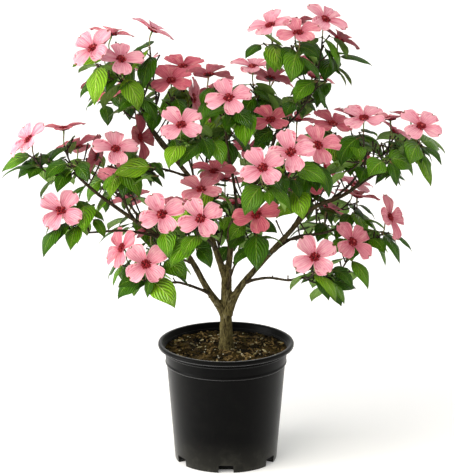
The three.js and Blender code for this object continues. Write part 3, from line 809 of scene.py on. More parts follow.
BOUGHS = {
    "left_bough": Bough("trunk", 280, 7.2, 2.2, [
        (-33, -10, 330), (-74, -20, 405), (-118, -28, 435), (-175, -28, 475), (-235, -12, 515),
        (-272, 0, 545)]),
    "right_bough": Bough("trunk", 284, 7.8, 2.2, [
        (25, -6, 332), (54, -10, 370), (113, 0, 434), (159, 0, 484), (214, 0, 509), (253, 0, 536),
        (276, -4, 552)]),
    "left_leader": Bough("trunk", 346, 6.2, 2.7, [
        (-25, 10, 421), (-54, 0, 520), (-85, 0, 568), (-118, 0, 606), (-137, 3, 634)]),
    "right_leader": Bough("trunk", 350, 6.4, 2.6, [
        (8, 2, 402), (9, 4, 450), (46, 18, 512), (74, 12, 572), (92, 2, 624)]),
    "left_low_branch": Bough("left_bough", 324, 2.8, 2.1, [(-84, -55, 358), (-112, -84, 364)]),
    "left_mid_branch": Bough("left_bough", 440, 2.6, 2.0, [(-185, -60, 459), (-238, -76, 461)]),
    "left_rise_branch": Bough("left_bough", 472, 2.5, 2.0, [(-183, -36, 500), (-188, -30, 520)]),
    "left_upper_branch": Bough("left_leader", 545, 2.5, 2.0, [(-108, -22, 564), (-142, -40, 576)]),
    "centre_left_branch": Bough("left_leader", 520, 2.5, 2.0, [(-62, -42, 570), (-72, -78, 612)]),
    "inner_left_branch": Bough("left_leader", 570, 2.5, 2.0, [(-94, 26, 612), (-92, 40, 646)]),
    "low_centre_left_branch": Bough("left_leader", 405, 2.9, 2.2, [(-30, -45, 434), (-48, -88, 458)]),
    "low_centre_branch": Bough("trunk", 322, 2.4, 1.9, [(14, -38, 382), (32, -66, 416)]),
    "top_centre_branch": Bough("right_leader", 470, 2.9, 2.1, [
        (14, -10, 540), (4, -32, 600), (0, -45, 638)]),
    "centre_right_branch": Bough("right_leader", 500, 2.8, 2.1, [
        (62, -34, 540), (84, -82, 568), (92, -104, 580)]),
    "inner_right_branch": Bough("right_leader", 556, 2.4, 2.0, [(64, 48, 606), (64, 66, 640)]),
    "right_low_branch": Bough("right_bough", 346, 2.8, 2.1, [
        (76, -50, 366), (112, -98, 376), (130, -120, 386)]),
    "right_outer_low_branch": Bough("right_bough", 404, 2.8, 2.1, [
        (130, 14, 426), (176, 16, 432), (200, 14, 440)]),
    "right_mid_branch": Bough("right_bough", 448, 2.5, 2.0, [(140, 32, 468), (158, 46, 482)]),
    "right_upper_branch": Bough("right_bough", 528, 2.4, 2.0, [(252, -20, 562), (256, -30, 590)]),
    "back_upper_left_branch": Bough("left_leader", 500, 2.9, 2.1, [
        (-88, 66, 556), (-136, 120, 604), (-160, 140, 630)]),
    "back_centre_left_branch": Bough("left_leader", 455, 2.7, 2.1, [(-40, 70, 512), (-36, 120, 552)]),
    "back_far_left_branch": Bough("left_bough", 456, 2.7, 2.1, [(-176, 46, 474), (-204, 98, 486)]),
    "back_low_left_branch": Bough("left_bough", 388, 2.6, 2.0, [(-92, 50, 374), (-116, 100, 372)]),
    "back_low_centre_branch": Bough("trunk", 338, 2.6, 2.0, [(-10, 58, 380), (-18, 112, 398)]),
    "back_upper_right_branch": Bough("right_leader", 530, 2.8, 2.1, [(98, 70, 584), (122, 122, 632)]),
    "back_centre_right_branch": Bough("right_leader", 452, 2.7, 2.1, [(42, 72, 478), (76, 136, 494)]),
    "back_far_right_branch": Bough("right_bough", 504, 2.6, 2.0, [(236, 56, 522), (256, 100, 544)]),
    "back_low_right_branch": Bough("right_bough", 424, 2.6, 2.0, [(146, 66, 410), (178, 112, 406)]),
}


@dataclass
class Skeleton:
    """The trunk and the boughs, as middle lines with a radius."""

    soil_top: float = 214.0
    gap: float = 0.3
    trunk_route: tuple[Place, ...] = ((0, 0, 236), (0, 0, 286), (1, 0, 330), (1, 0, 366))
    trunk_root: float = 13.4
    trunk_tip: float = 8.6
    step: float = 52.0  # of a limb's solid
    fine_step: float = 3.5  # of its skin
    taper: float = 0.7
    fine_taper: float = 0.56  # the skin thins a little sooner past the fork
    lines: dict[str, Line] = field(default_factory=dict)

    def __post_init__(self) -> None:
        """Work out every line, each bough from the one that carries it."""
        foot = (0.0, 0.0, self.soil_top + self.gap)
        self.lines["trunk"] = self.line(np.array(foot), self.trunk_route, self.trunk_root, self.trunk_tip)
        for name, bough in BOUGHS.items():
            start = self.at_height(self.lines[bough.on].points, bough.leaves)
            self.lines[name] = self.line(start, bough.via, bough.root, bough.tip)

    def line(self, start: Array, via: Sequence[Place], root: float, tip: float) -> Line:
        """Give a limb's line.

        Args:
            start: where it starts.
            via: the places that it passes.
            root: its radius at the start.
            tip: its radius at the end.

        Returns:
            The line.
        """
        places = np.vstack([start, np.array(via, dtype=float)])
        reach = float(np.linalg.norm(np.diff(places, axis=0), axis=1).sum())
        steps = max(3, math.floor(reach / self.step + 0.5))
        fine = max(12, round(reach / self.fine_step))
        coarse_radii = root + (tip - root) * (np.arange(steps + 1) / steps) ** self.taper
        fine_radii = root + (tip - root) * (np.arange(fine + 1) / fine) ** self.fine_taper
        return Line(spline(places, steps), coarse_radii, spline(places, fine), fine_radii)

    @staticmethod
    def at_height(points: Array, height: float) -> Array:
        """Give the place on a polyline at a height.

        Args:
            points: the polyline, from low to high.
            height: the height.

        Returns:
            The place.
        """
        i = max(1, int(np.argmax(points[:, 2] >= height)))
        low, high = points[i - 1], points[i]
        return low + (high - low) * (height - low[2]) / (high[2] - low[2])

    def stretches(self) -> tuple[Array, Array, Array]:
        """Give every stretch of limb.

        Returns:
            Their starts, their ends and their radii.
        """
        starts = np.vstack([line.points[:-1] for line in self.lines.values()])
        ends = np.vstack([line.points[1:] for line in self.lines.values()])
        return starts, ends, np.concatenate([line.radii[:-1] for line in self.lines.values()])


@dataclass
class LimbBark:
    """The bark skin of the trunk and the boughs, with its relief."""

    skeleton: Skeleton
    voxel: float = 1.15
    rounding: tuple[float, int] = (0.5, 5)  # how hard and how often the forks are smoothed
    flare: float = 2.0
    flare_height: float = 12.0
    lobes: int = 5
    lobing: float = 0.5
    sides: int = 20
    bough_sides: int = 14
    branch_sides: int = 10
    sunk: float = 4.0  # how far the trunk's skin goes down into the soil
    ridge_length: float = 10.0  # of one bark ridge
    ridge_girth: float = 0.42  # how closely the ridges follow each other round the limb
    fine_length: float = 4.0  # the same for the finer ridges
    fine_girth: float = 1.1
    fine_share: float = 0.38  # of the relief
    ridge_depth: Span = (0.256, 0.08)  # a fixed part, and a share of the limb's radius
    collar: float = 0.75  # how far a branch's root spreads, against its radius
    collar_length: float = 7.0
    joint_gap: float = 34.0  # between the leaf scars of a branch
    scar: float = 0.16  # how far a leaf scar stands out, against the radius
    scar_length: float = 2.4
    melt: float = 0.6  # what smoothing takes off a limb's radius
    low_fork: float = 300.0  # height under which boughs swell more where they leave the trunk
    low_swell: float = 0.72
    high_swell: float = 0.3
    swell_length: float = 22.0
    thick_root: float = 4.0  # boughs with a thicker root are grown together with the trunk
    ages: Span = (2.6, 6.8)  # radius of the youngest looking wood, and of the oldest

    block: int = 4000  # how many corners are worked out at once

    RELIEF = "relief"
    AGE = "age"

    def trunk_tube(self) -> tuple[Array, Faces]:
        """Give the trunk's tube, with the root flare at its foot.

        Returns:
            Its corners and its faces.
        """
        line = self.skeleton.lines["trunk"]
        foot = line.fine[0] - UP * self.sunk
        points = np.vstack([foot, line.fine])
        radii = np.concatenate([line.fine_radii[:1], line.fine_radii]) + self.melt
        corners, faces = tube(points, radii, self.sides)
        rings = corners[:-2].reshape(len(points), self.sides, 3)
        rise = np.maximum(points[:, 2] - self.skeleton.soil_top, 0.0)
        spread = np.exp(-rise / self.flare_height) * self.flare
        angle = 2 * math.pi * np.arange(self.sides) / self.sides
        lobe = 1 + np.outer(spread / radii, 1 + self.lobing * np.cos(self.lobes * angle))
        rings = points[:, None] + (rings - points[:, None]) * lobe[:, :, None]
        return np.vstack([rings.reshape(-1, 3), corners[-2:]]), faces

    def grown(self, finish: Material, names: Sequence[str]) -> bpy.types.Object:
        """Make the trunk and the main boughs, grown together in one skin.

        Args:
            finish: the bark's material.
            names: the trunk and the boughs.

        Returns:
            The piece.
        """
        stock = Stock()
        stock.add(*self.trunk_tube())
        for name in names[1:]:
            line = self.skeleton.lines[name]
            run = self.skeleton.fine_step * np.arange(len(line.fine))
            swell = self.low_swell if BOUGHS[name].leaves < self.low_fork else self.high_swell
            swollen = (line.fine_radii + self.melt) * (1 + swell * np.exp(-run / self.swell_length))
            stock.add(*tube(line.fine, swollen, self.bough_sides))
        skin = stock.piece("trunk_and_bough_bark", [finish])
        remesh = skin.modifiers.new("grown together", "REMESH")
        remesh.mode = "VOXEL"
        remesh.voxel_size = self.voxel * MILLI
        remesh.use_smooth_shade = True
        smooth = skin.modifiers.new("fillet", "SMOOTH")
        smooth.factor, smooth.iterations = self.rounding
        for name in ("grown together", "fillet"):
            bpy.ops.object.modifier_apply(modifier=name)
        self.relieve(skin, names)
        skin.data.polygons.foreach_set("use_smooth", [True] * len(skin.data.polygons))
        return skin

    def branches(self, finish: Material, names: Sequence[str]) -> bpy.types.Object:
        """Make the side branches, each with a collar where it leaves its bough.

        Args:
            finish: the bark's material.
            names: the branches.

        Returns:
            The piece.
        """
        stock = Stock()
        for name in names:
            line = self.skeleton.lines[name]
            run = self.skeleton.fine_step * np.arange(len(line.fine))
            parent = self.skeleton.lines[BOUGHS[name].on]
            inside = parent.fine_radii[np.argmin(np.linalg.norm(parent.fine - line.fine[0], axis=1))]
            collar = self.collar * np.exp(-np.maximum(run - inside, 0) / self.collar_length)
            phase = (run - inside) / self.joint_gap
            away = (phase - np.round(phase)) * self.joint_gap
            scar = self.scar * np.exp(-((away / self.scar_length) ** 2))
            stock.add(*tube(line.fine, line.fine_radii * (1 + collar + scar), self.branch_sides))
        skin = stock.piece("branch_bark", [finish])
        self.relieve(skin, names)
        return skin

    def relieve(self, skin: bpy.types.Object, names: Sequence[str]) -> None:
        """Raise the bark's ridges along the limbs, and keep their height for the finish.

        Args:
            skin: the piece.
            names: the limbs that it covers.
        """
        mesh = skin.data
        count = len(mesh.vertices)
        flat = np.empty(count * 3)
        mesh.vertices.foreach_get("co", flat)
        places = flat.reshape(-1, 3) / MILLI
        mesh.vertices.foreach_get("normal", flat)
        normals = flat.reshape(-1, 3).copy()
        lines = [self.skeleton.lines[name] for name in names]
        spine = np.vstack([line.fine for line in lines])
        ways = np.vstack([along(line.fine) for line in lines])
        radii = np.concatenate([line.fine_radii for line in lines])
        runs = np.concatenate([self.skeleton.fine_step * np.arange(len(line.fine)) for line in lines])
        nearest = np.empty(count, dtype=int)
        for start in range(0, count, self.block):
            some = slice(start, start + self.block)
            reach = np.linalg.norm(places[some, None] - spine[None], axis=2) - radii[None]
            nearest[some] = np.argmin(reach, axis=1)
        out = places - spine[nearest]
        way = ways[nearest]
        slip = (out * way).sum(axis=1, keepdims=True)
        out = out - way * slip
        out /= np.maximum(np.linalg.norm(out, axis=1, keepdims=True), 1e-6)
        run = (runs[nearest] + slip[:, 0])[:, None]
        girth = radii[nearest][:, None]
        coarse = out * girth * self.ridge_girth + way * run / self.ridge_length
        fine = out * girth * self.fine_girth + way * run / self.fine_length + 40.0
        high = np.array([noise.noise(Vector(spot)) for spot in coarse])
        low = np.array([noise.noise(Vector(spot)) for spot in fine])
        height = (1 - self.fine_share) * high + self.fine_share * low
        depth = self.ridge_depth[0] + self.ridge_depth[1] * girth[:, 0]
        moved = places + normals * (height * depth)[:, None]
        mesh.vertices.foreach_set("co", (moved * MILLI).ravel())
        layer = mesh.attributes.new(self.RELIEF, "FLOAT", "POINT")
        layer.data.foreach_set("value", np.clip(0.5 + height, 0, 1))
        layer = mesh.attributes.new(self.AGE, "FLOAT", "POINT")
        layer.data.foreach_set("value", np.clip((girth[:, 0] - self.ages[0]) / np.ptp(self.ages), 0, 1))
        mesh.update()

    def build(self) -> None:
        """Make both pieces, dress them and hide the solids that they stand for."""
        bark = RidgedBark().make()
        thick = ["trunk"] + [name for name, bough in BOUGHS.items() if bough.root > self.thick_root]
        thin = [name for name in BOUGHS if name not in thick]
        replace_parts(report(self.grown(bark, thick)), *thick)
        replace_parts(report(self.branches(bark, thin)), *thin)


# ---- masses: twigs, leaves and blooms ----


@dataclass
class Mass:
    """A mass: its bough, blooms with tones that are partly painted shade, leafy tips, or a ring of blooms.
    """

    bough: str
    tones_and_shade: str
    blooms: list[Row] = field(default_factory=list)
    tips: list[Place] = field(default_factory=list)
    ring: Place | None = None


# Each letter deals a bloom a light, mid or deep pink, and the deeper pinks are partly painted shade on
# blooms that lie in shade.
MASSES = {
    "far_left": Mass("left_bough", "LD", [(-360, -20, 620, -65, 45, 70), (-300, 40, 625, -150, 80, 60)],
        [(-340, -40, 575), (-262, -45, 582)]),
    "upper_left": Mass("left_leader", "LLMLD", [
        (-240, -60, 800, -40, 45, 70), (-190, -40, 775, 15, 60, 80), (-210, 60, 800, 150, 70, 30),
        (-134, 20, 816, 100, 62, 70), (-200, 60, 692, -90, 55, 5)],
        [(-165, -35, 712), (-122, 20, 698)]),
    "upper_right": Mass("right_leader", "LMLDDD", [
        (80, -30, 835, -50, 65, 30), (130, -70, 830, 0, 70, 25), (180, 0, 840, 50, 60, 20),
        (128, 62, 820, 170, 70, 70), (208, 60, 790, 125, 55, 55), (82, -34, 660, 0, 70, 35)],
        [(168, -30, 735)]),
    "far_right": Mass("right_bough", "LM", [(355, -40, 650, 20, 60, 35), (304, 48, 642, 180, 80, 60)],
        [(352, 20, 590), (290, -75, 596)]),
    "low_left": Mass("left_low_branch", "ML", [(-190, -60, 425, -60, 25, 45), (-145, -130, 415, 0, 35, 40)],
        [(-118, -60, 415)]),
    "mid_left": Mass("left_mid_branch", "L", [(-300, -90, 505, 0, 40, 55)], [(-262, -52, 508)]),
    "rise_left": Mass("left_rise_branch", "DD", [
        (-238, 34, 575, -110, 10, 15), (-200, -22, 546, 170, 52, 65)]),
    "upper_mid_left": Mass("left_upper_branch", "LD", [
        (-200, -90, 620, 15, 60, 85), (-160, -4, 621, 65, 15, 75)], [(-128, -92, 588)]),
    "centre_left": Mass("centre_left_branch", "L", [(-80, -130, 675, 0, 55, 45)], [(-40, -110, 640)]),
    "inner_left": Mass("inner_left_branch", "DDM", [
        (-100, 16, 722, 0, 65, 43), (-80, 96, 730, 0, 75, 40), (-62, 50, 682, 75, 15, 45)]),
    "low_centre_left": Mass("low_centre_left_branch", "LLMD", [
        (-115, -170, 520, 0, 40, 25), (-45, -200, 520, 0, 45, 30), (-45, -105, 548, 0, 70, 55),
        (-22, -38, 564, 0, 80, 72)]),
    "low_centre": Mass("low_centre_branch", "D", [(55, -120, 505, 0, 45, 15)]),
    "top_centre": Mass("top_centre_branch", "LD", [(5, -110, 720, 0, 50, 20), (-32, 10, 735, 180, 60, 25)],
        [(35, -60, 690)]),
    "centre_right": Mass("centre_right_branch", "LLM", [
        (115, -190, 640, 0, 40, 15), (65, -230, 622, 0, 45, 35), (165, -120, 635, 20, 50, 85)],
        [(120, -150, 560)]),
    "inner_right": Mass("inner_right_branch", "LD", [
        (50, 60, 738, 0, 85, 80), (82, 110, 705, 165, 55, 30)]),
    "low_right": Mass("right_low_branch", "ML", [(230, -90, 445, 40, 40, 25), (160, -170, 440, 0, 40, 35)],
        [(190, -120, 385)]),
    "outer_low_right": Mass("right_outer_low_branch", "DM", [
        (245, 62, 490, 125, 75, 50), (300, -30, 475, 65, 25, 75)], [(266, 4, 428)]),
    "mid_right": Mass("right_mid_branch", "DDD", [
        (150, 48, 516, 0, 65, 45), (185, 42, 549, 105, 30, 50), (232, 40, 582, 85, 55, 15)]),
    "upper_mid_right": Mass("right_upper_branch", "DL", [
        (195, 0, 645, 40, 70, 10), (250, -60, 670, 0, 70, 50)], [(236, -60, 590)]),
    "back_upper_left": Mass("back_upper_left_branch", "LML", ring=(-205, 180, 705)),
    "back_centre_left": Mass("back_centre_left_branch", "DLM", ring=(-40, 170, 630)),
    "back_far_left": Mass("back_far_left_branch", "MLD", ring=(-226, 150, 536)),
    "back_low_left": Mass("back_low_left_branch", "LDM", ring=(-150, 160, 425)),
    "back_low_centre": Mass("back_low_centre_branch", "MLL", ring=(-25, 175, 470)),
    "back_upper_right": Mass("back_upper_right_branch", "LLM", ring=(150, 175, 700)),
    "back_centre_right": Mass("back_centre_right_branch", "LMD", ring=(100, 200, 560)),
    "back_far_right": Mass("back_far_right_branch", "MDL", ring=(286, 160, 592)),
    "back_low_right": Mass("back_low_right_branch", "LMD", ring=(210, 165, 455)),
}


@dataclass(frozen=True)
class RingRule:
    """How the blooms of a ring are spread round their centre."""

    radius: float = 56.0
    radius_spread: float = 0.3  # of the radius
    rise: float = 16.0  # how far a bloom may stand over the centre or under it
    lift: float = 55.0  # degrees that a bloom looks up
    lift_spread: float = 30.0
    turn_spread: float = 70.0
    angle_spread: float = 0.6  # of the angle between two blooms

    def rows(self, centre: Place, count: int, draws: Draws) -> list[Row]:
        """Give the ring's blooms.

        Args:
            centre: the middle of the ring.
            count: how many blooms it has.
            draws: the mass's draws.

        Returns:
            A row for each bloom: its place, turn, lift and roll.
        """
        x, y, z = centre
        outward = math.atan2(x, -y)
        rows = []
        for i in range(count):
            angle = outward + 2 * math.pi * (i + self.angle_spread * (draws.next() - 0.5)) / count
            place = heading(angle) * self.radius * (1 + self.radius_spread * (draws.next() - 0.5))
            turn = math.degrees(outward) + self.turn_spread * (draws.next() - 0.5)
            lift = self.lift + self.lift_spread * (draws.next() - 0.5)
            height = z + 2 * self.rise * (draws.next() - 0.5) + (0 if i else self.rise)
            rows.append((x + place[0], y + place[1], height, turn, lift, 90 * draws.next()))
        return rows


@dataclass
class Bloom:
    """A bloom: its middle, the way it faces and the twig end that its stalk rises from."""

    row: Row  # its place, then its turn, lift and roll in degrees
    tone: ToneAndShade
    stalk: float = 31.0
    lean: float = 0.55  # how far the stalk leans the way that the bloom faces

    def __post_init__(self) -> None:
        """Work out its directions."""
        x, y, z, turn, lift, roll = self.row
        turn, lift, self.roll = math.radians(turn), math.radians(lift), math.radians(roll)
        self.centre = np.array((x, y, z), dtype=float)
        self.face = heading(turn) * math.cos(lift) + UP * math.sin(lift)
        self.across = np.array((math.cos(turn), math.sin(turn), 0.0))
        self.beside = np.cross(self.face, self.across)
        self.hub = self.centre - unit(self.face * self.lean + UP) * self.stalk

    def bract_way(self, k: float) -> Array:
        """Give the direction of bract k in the plane of the bloom's face."""
        angle = self.roll + k * math.pi / 2
        return self.across * math.cos(angle) + self.beside * math.sin(angle)


@dataclass
class End:
    """A twig's end, with the bloom that stands over it, if there is one."""

    hub: Array
    bloom: Bloom | None = None
    rise: Array = field(default_factory=lambda: UP.copy())


@dataclass
class Twig:
    """A twig: a curve that bends once, the radius at its root, and the bare stem before it."""

    start: Array
    bend: Array
    end: End
    root: float
    foot: Array | None = None
    solid_points: Array = field(default_factory=lambda: np.empty((0, 3)))  # of the solid's twig

    def places(self, shares: Iterable[float]) -> Array:
        """Give the places at some shares of its curve."""
        return arc(self.start, self.bend, self.end.hub, shares)


@dataclass(frozen=True)
class TwigRule:
    """How the twigs of a mass branch."""

    lead: float = 12.0  # of bare stem before the first twig
    tip: float = 1.5
    narrowing: float = 0.86  # from a twig to one that it carries
    past: float = 3.0  # how far a twig runs on past its leaves
    run_cost: float = 0.3  # how much wood far from the stem is passed over for a new twig
    upturn: float = 0.9
    step: float = 56.0
    wander: float = 0.07  # of a twig's length
    sunk: float = 1.5  # how far a flower stalk runs into its bloom

    def grow(self, start: Array, way: Array, radius: float, ends: list[End], draws: Draws) -> list[Twig]:
        """Grow the twigs of a mass.

        Args:
            start: where the stem meets its bough.
            way: the direction of the bough there.
            radius: the bough's radius there.
            ends: the twig ends to reach, which get their rise.
            draws: the mass's draws.

        Returns:
            The twigs, each from wood that is there already.
        """
        lead = start + way * self.lead
        twigs: list[Twig] = []
        places = [(lead, self.lead, radius, lead)]
        for end in sorted(ends, key=lambda e: float(np.linalg.norm(e.hub - start))):
            costs = [
                float(np.linalg.norm(spot - end.hub)) + self.run_cost * run for spot, run, _, _ in places]
            spot, run, thick, smooth = places[int(np.argmin(costs))]
            reach = end.hub - spot
            length = float(np.linalg.norm(reach))
            end.rise = unit(unit(reach) + UP * self.upturn)
            bend = end.hub - end.rise * 0.5 * length
            bend[0] += self.wander * length * (draws.next() - 0.5)
            bend[1] += self.wander * length * (draws.next() - 0.5)
            steps = max(2, math.floor(length / self.step + 0.5))
            root = max(self.tip, thick * self.narrowing) if twigs else radius
            curve = arc(spot, bend, end.hub, np.arange(steps + 1) / steps)
            solid = curve.copy()
            if end.bloom is None:
                solid[-1] = end.hub + end.rise * self.past
            else:
                solid = np.vstack([solid, end.bloom.centre + end.bloom.face * self.sunk])
            foot = None if twigs else start
            if foot is not None:
                solid = np.vstack([foot, solid])
            twig = Twig(smooth, bend, end, root, foot, solid)
            found = [
                (
                    (curve[i] + curve[i + 1]) / 2,
                    run + length * (i + 0.5) / steps,
                    root + (self.tip - root) * i / steps if i else root,
                    twig.places([(i + 0.5) / steps])[0],
                )
                for i in range(steps)
            ]
            places = [*places, *found] if twigs else found
            twigs.append(twig)
        return twigs


@dataclass
class Leaf:
    """A leaf's place and pose: its root on the twig, length, turn, rise, droop and tilt."""

    root: Array
    length: float
    turn: float
    rise: float
    droop: float
    tilt: float
    petiole: float = 9.0
    width_share: float = 0.62  # of the length
    arch: float = 0.07  # how far the margins lie under the midrib, of the width

    @property
    def base(self) -> Array:
        """The end of its stalk, where the blade starts."""
        way = heading(self.turn) * math.cos(self.rise) + UP * math.sin(self.rise)
        return self.root + way * self.petiole

    def turned(self, angle: float) -> Leaf:
        """Give the same leaf turned round its root."""
        return replace(self, turn=self.turn + angle)

    def points(self, shares: Array, across: Array, raised: Array | float = 0.0) -> Array:
        """Give points of the blade.

        Args:
            shares: how far along the blade each lies.
            across: how far across it, as a share of its full width.
            raised: how far over the blade each lies, in millimetres.

        Returns:
            The points.
        """
        out, side = heading(self.turn), np.cross(UP, heading(self.turn))
        slope = self.rise - self.droop * shares
        pace = self.length / self.droop
        reach = pace * (math.sin(self.rise) - np.sin(slope))
        fall = pace * (np.cos(slope) - math.cos(self.rise))
        place = self.base + np.outer(reach, out) + np.outer(fall, UP)
        normal = np.outer(-np.sin(slope), out) + np.outer(np.cos(slope), UP)
        tilted = side * math.cos(self.tilt) + normal * math.sin(self.tilt)
        upright = normal * math.cos(self.tilt) - side * math.sin(self.tilt)
        width = self.length * self.width_share
        lift = np.broadcast_to(raised - 2 * np.abs(across) * self.arch * width, shares.shape)
        return place + tilted * (across * width)[:, None] + upright * lift[:, None]


@dataclass(frozen=True)
class LeafRule:
    """How leaves stand at a twig's end."""

    lengths: Span = (66.0, 82.0)
    rises: Span = (-24.0, 12.0)  # degrees, as are the droops, tilts and turns
    droops: Span = (48.0, 84.0)
    tilts: Span = (-18.0, 18.0)
    facing: float = 34.0  # how far a leaf rolls to face outwards from the trunk
    below: float = 2.5  # the twig's end
    pair_gap: float = 11.0
    jitter: float = 14.0
    missing: float = 0.72  # share of the lower leaves that have fallen
    turns: Row = (0, 25, -25, 50, -50, 75, -75)  # tried in this order
    probe_shares: Row = (0, 0.2, 0.2, 0.4, 0.4, 0.4, 0.65, 0.65, 0.65, 0.85, 1)
    probe_across: Row = (0, -0.35, 0.35, -0.5, 0, 0.5, -0.36, 0, 0.36, 0, 0)
    root_probes: int = 3  # the first probes, which may lie near another leaf
    apart: float = 8.0  # how far a leaf keeps from another

    def pose(self, root: Array, turn: float, draws: Draws, scale: float = 1.0) -> Leaf:
        """Draw a leaf's length and pose, in the order length, turn, rise, droop, tilt.

        Args:
            root: where its stalk leaves the twig.
            turn: the way it points.
            draws: the draws.
            scale: its size against a full leaf's.

        Returns:
            The leaf.
        """
        length = draws.between(*self.lengths) * scale
        turn += math.radians(self.jitter) * (2 * draws.next() - 1)
        rise = math.radians(draws.between(*self.rises))
        droop = math.radians(draws.between(*self.droops))
        outward = math.atan2(root[0], -root[1])
        tilt = draws.between(*self.tilts) + self.facing * math.sin(turn - outward)
        return Leaf(root, length, turn, rise, droop, math.radians(tilt))


@dataclass
class Crown:
    """All the masses, with the space that each of them keeps to."""

    skeleton: Skeleton
    rule: LeafRule = LeafRule()
    hold: float = 28.2  # how far from its bloom's middle each bract holds space
    margin: float = 2.0  # between the spaces of two masses
    limb_clear: float = 5.0  # between a leaf and a limb
    bloom_clear: float = 4.0  # between a leaf and the bracts of a bloom
    bloom_radius: float = 50.0
    cup: float = 14.0  # degrees that the bracts rise
    names: list[str] = field(default_factory=lambda: list(MASSES))
    blooms: list[list[Bloom]] = field(default_factory=list)
    ends: list[list[End]] = field(default_factory=list)
    twigs: list[list[Twig]] = field(default_factory=list)
    leaves: list[list[Leaf]] = field(default_factory=list)
    probes: Array = field(default_factory=lambda: np.empty((0, 3)))

    def __post_init__(self) -> None:
        """Grow the twigs of every mass, take down what holds its space, and seat its leaves."""
        self.draws = [Draws(i + 1) for i in range(len(self.names))]
        for mass, draws in zip(MASSES.values(), self.draws):
            rows = RingRule().rows(mass.ring, len(mass.tones_and_shade), draws) if mass.ring else mass.blooms
            blooms = [Bloom(row, ToneAndShade(tone)) for row, tone in zip(rows, mass.tones_and_shade)]
            ends = [End(b.hub, b) for b in blooms] + [End(np.array(tip, dtype=float)) for tip in mass.tips]
            line = self.skeleton.lines[mass.bough]
            way = along(line.points)[-1]
            start = line.points[-1] + way * self.skeleton.gap
            self.twigs.append(TwigRule().grow(start, way, line.radii[-1], ends, draws))
            self.blooms.append(blooms)
            self.ends.append(ends)
        self.hold_space()
        for number, ends in enumerate(self.ends):
            self.leaves.append([leaf for end in ends for leaf in self.leaves_at(end, number)])

    def hold_space(self) -> None:
        """Note the places that hold each mass's space, the limbs and the blooms."""
        sites, owners = [], []
        for number, (blooms, twigs) in enumerate(zip(self.blooms, self.twigs)):
            held = [twig.solid_points for twig in twigs]
            for bloom in blooms:
                held.append(bloom.centre[None])
                held.append(np.array([bloom.centre + bloom.bract_way(k) * self.hold for k in range(4)]))
            held_points = np.vstack(held)
            sites.append(held_points)
            owners += [number] * len(held_points)
        self.sites, self.owners = np.vstack(sites), np.array(owners)
        starts, ends, self.girths = self.skeleton.stretches()
        self.starts, self.runs = starts, ends - starts
        every = [bloom for blooms in self.blooms for bloom in blooms]
        self.centres = np.array([bloom.centre for bloom in every])
        self.faces = np.array([bloom.face for bloom in every])

    def is_free(self, points: Array, number: int) -> bool:
        """Tell whether points keep to a mass's own space, clear of the limbs and of every bloom.

        Args:
            points: the points.
            number: the mass.

        Returns:
            True where all of them do.
        """
        gaps = np.linalg.norm(self.sites[:, None] - points[None], axis=2)
        mine = self.owners == number
        if (gaps[~mine].min(axis=0) < gaps[mine].min(axis=0) + self.margin).any():
            return False
        away = points[None] - self.starts[:, None]
        lengths = (self.runs**2).sum(axis=1)
        shares = np.clip((away * self.runs[:, None]).sum(axis=2) / lengths[:, None], 0, 1)
        reach = np.linalg.norm(away - shares[:, :, None] * self.runs[:, None], axis=2)
        return not (reach < self.girths[:, None] + self.limb_clear).any() and self.misses_blooms(points)

    def misses_blooms(self, points: Array) -> bool:
        """Tell whether points are clear of every bloom.

        Args:
            points: the points.

        Returns:
            True where all of them are.
        """
        away = points[None] - self.centres[:, None]
        height = (away * self.faces[:, None]).sum(axis=2)
        out = np.sqrt(np.maximum(0, (away**2).sum(axis=2) - height**2))
        level = np.abs(height - math.sin(math.radians(self.cup)) * out)
        return not ((out < self.bloom_radius) & (level < self.bloom_clear)).any()

    def seat(self, leaf: Leaf, number: int, box: tuple[Array, Array] | None = None) -> Leaf | None:
        """Turn a leaf to where it is free.

        Args:
            leaf: the leaf as drawn.
            number: its mass.
            box: for a finer leaf, what it stays inside, and such a leaf is left out where it would
                come near another.

        Returns:
            The turned leaf, or nothing where it has no room.
        """
        shares, across = np.array(self.rule.probe_shares, float), np.array(self.rule.probe_across)
        options = []
        for degrees in self.rule.turns:
            tried = leaf.turned(math.radians(degrees))
            probes = tried.points(shares, across)
            if not self.is_free(probes, number):
                continue
            if box and ((probes < box[0]).any() or (probes > box[1]).any()):
                continue
            tail = probes[self.rule.root_probes :]
            options.append((tried, tail))
            if not len(self.probes):
                break
            if np.linalg.norm(self.probes[:, None] - tail[None], axis=2).min() > self.rule.apart:
                break
        else:
            if box or not options:
                return None
            options = options[:1]
        tried, tail = options[-1]
        self.probes = np.vstack([self.probes, tail])
        return tried

    def leaves_at(self, end: End, number: int) -> list[Leaf]:
        """Give the leaves of one twig end: an upper pair, and a lower one that crosses it.

        Args:
            end: the twig's end.
            number: its mass.

        Returns:
            The leaves that have room.
        """
        draws, rule = self.draws[number], self.rule
        leaves = []
        spin = 2 * math.pi * draws.next()
        for pair in range(2):
            root = end.hub - end.rise * (rule.below + pair * rule.pair_gap)
            for half in range(2):
                turn = spin + half * math.pi + pair * math.pi / 2
                leaf = rule.pose(root, turn, draws)
                fallen = draws.next() < rule.missing and pair > 0
                seated = None if fallen else self.seat(leaf, number)
                if seated is not None:
                    leaves.append(seated)
        return leaves


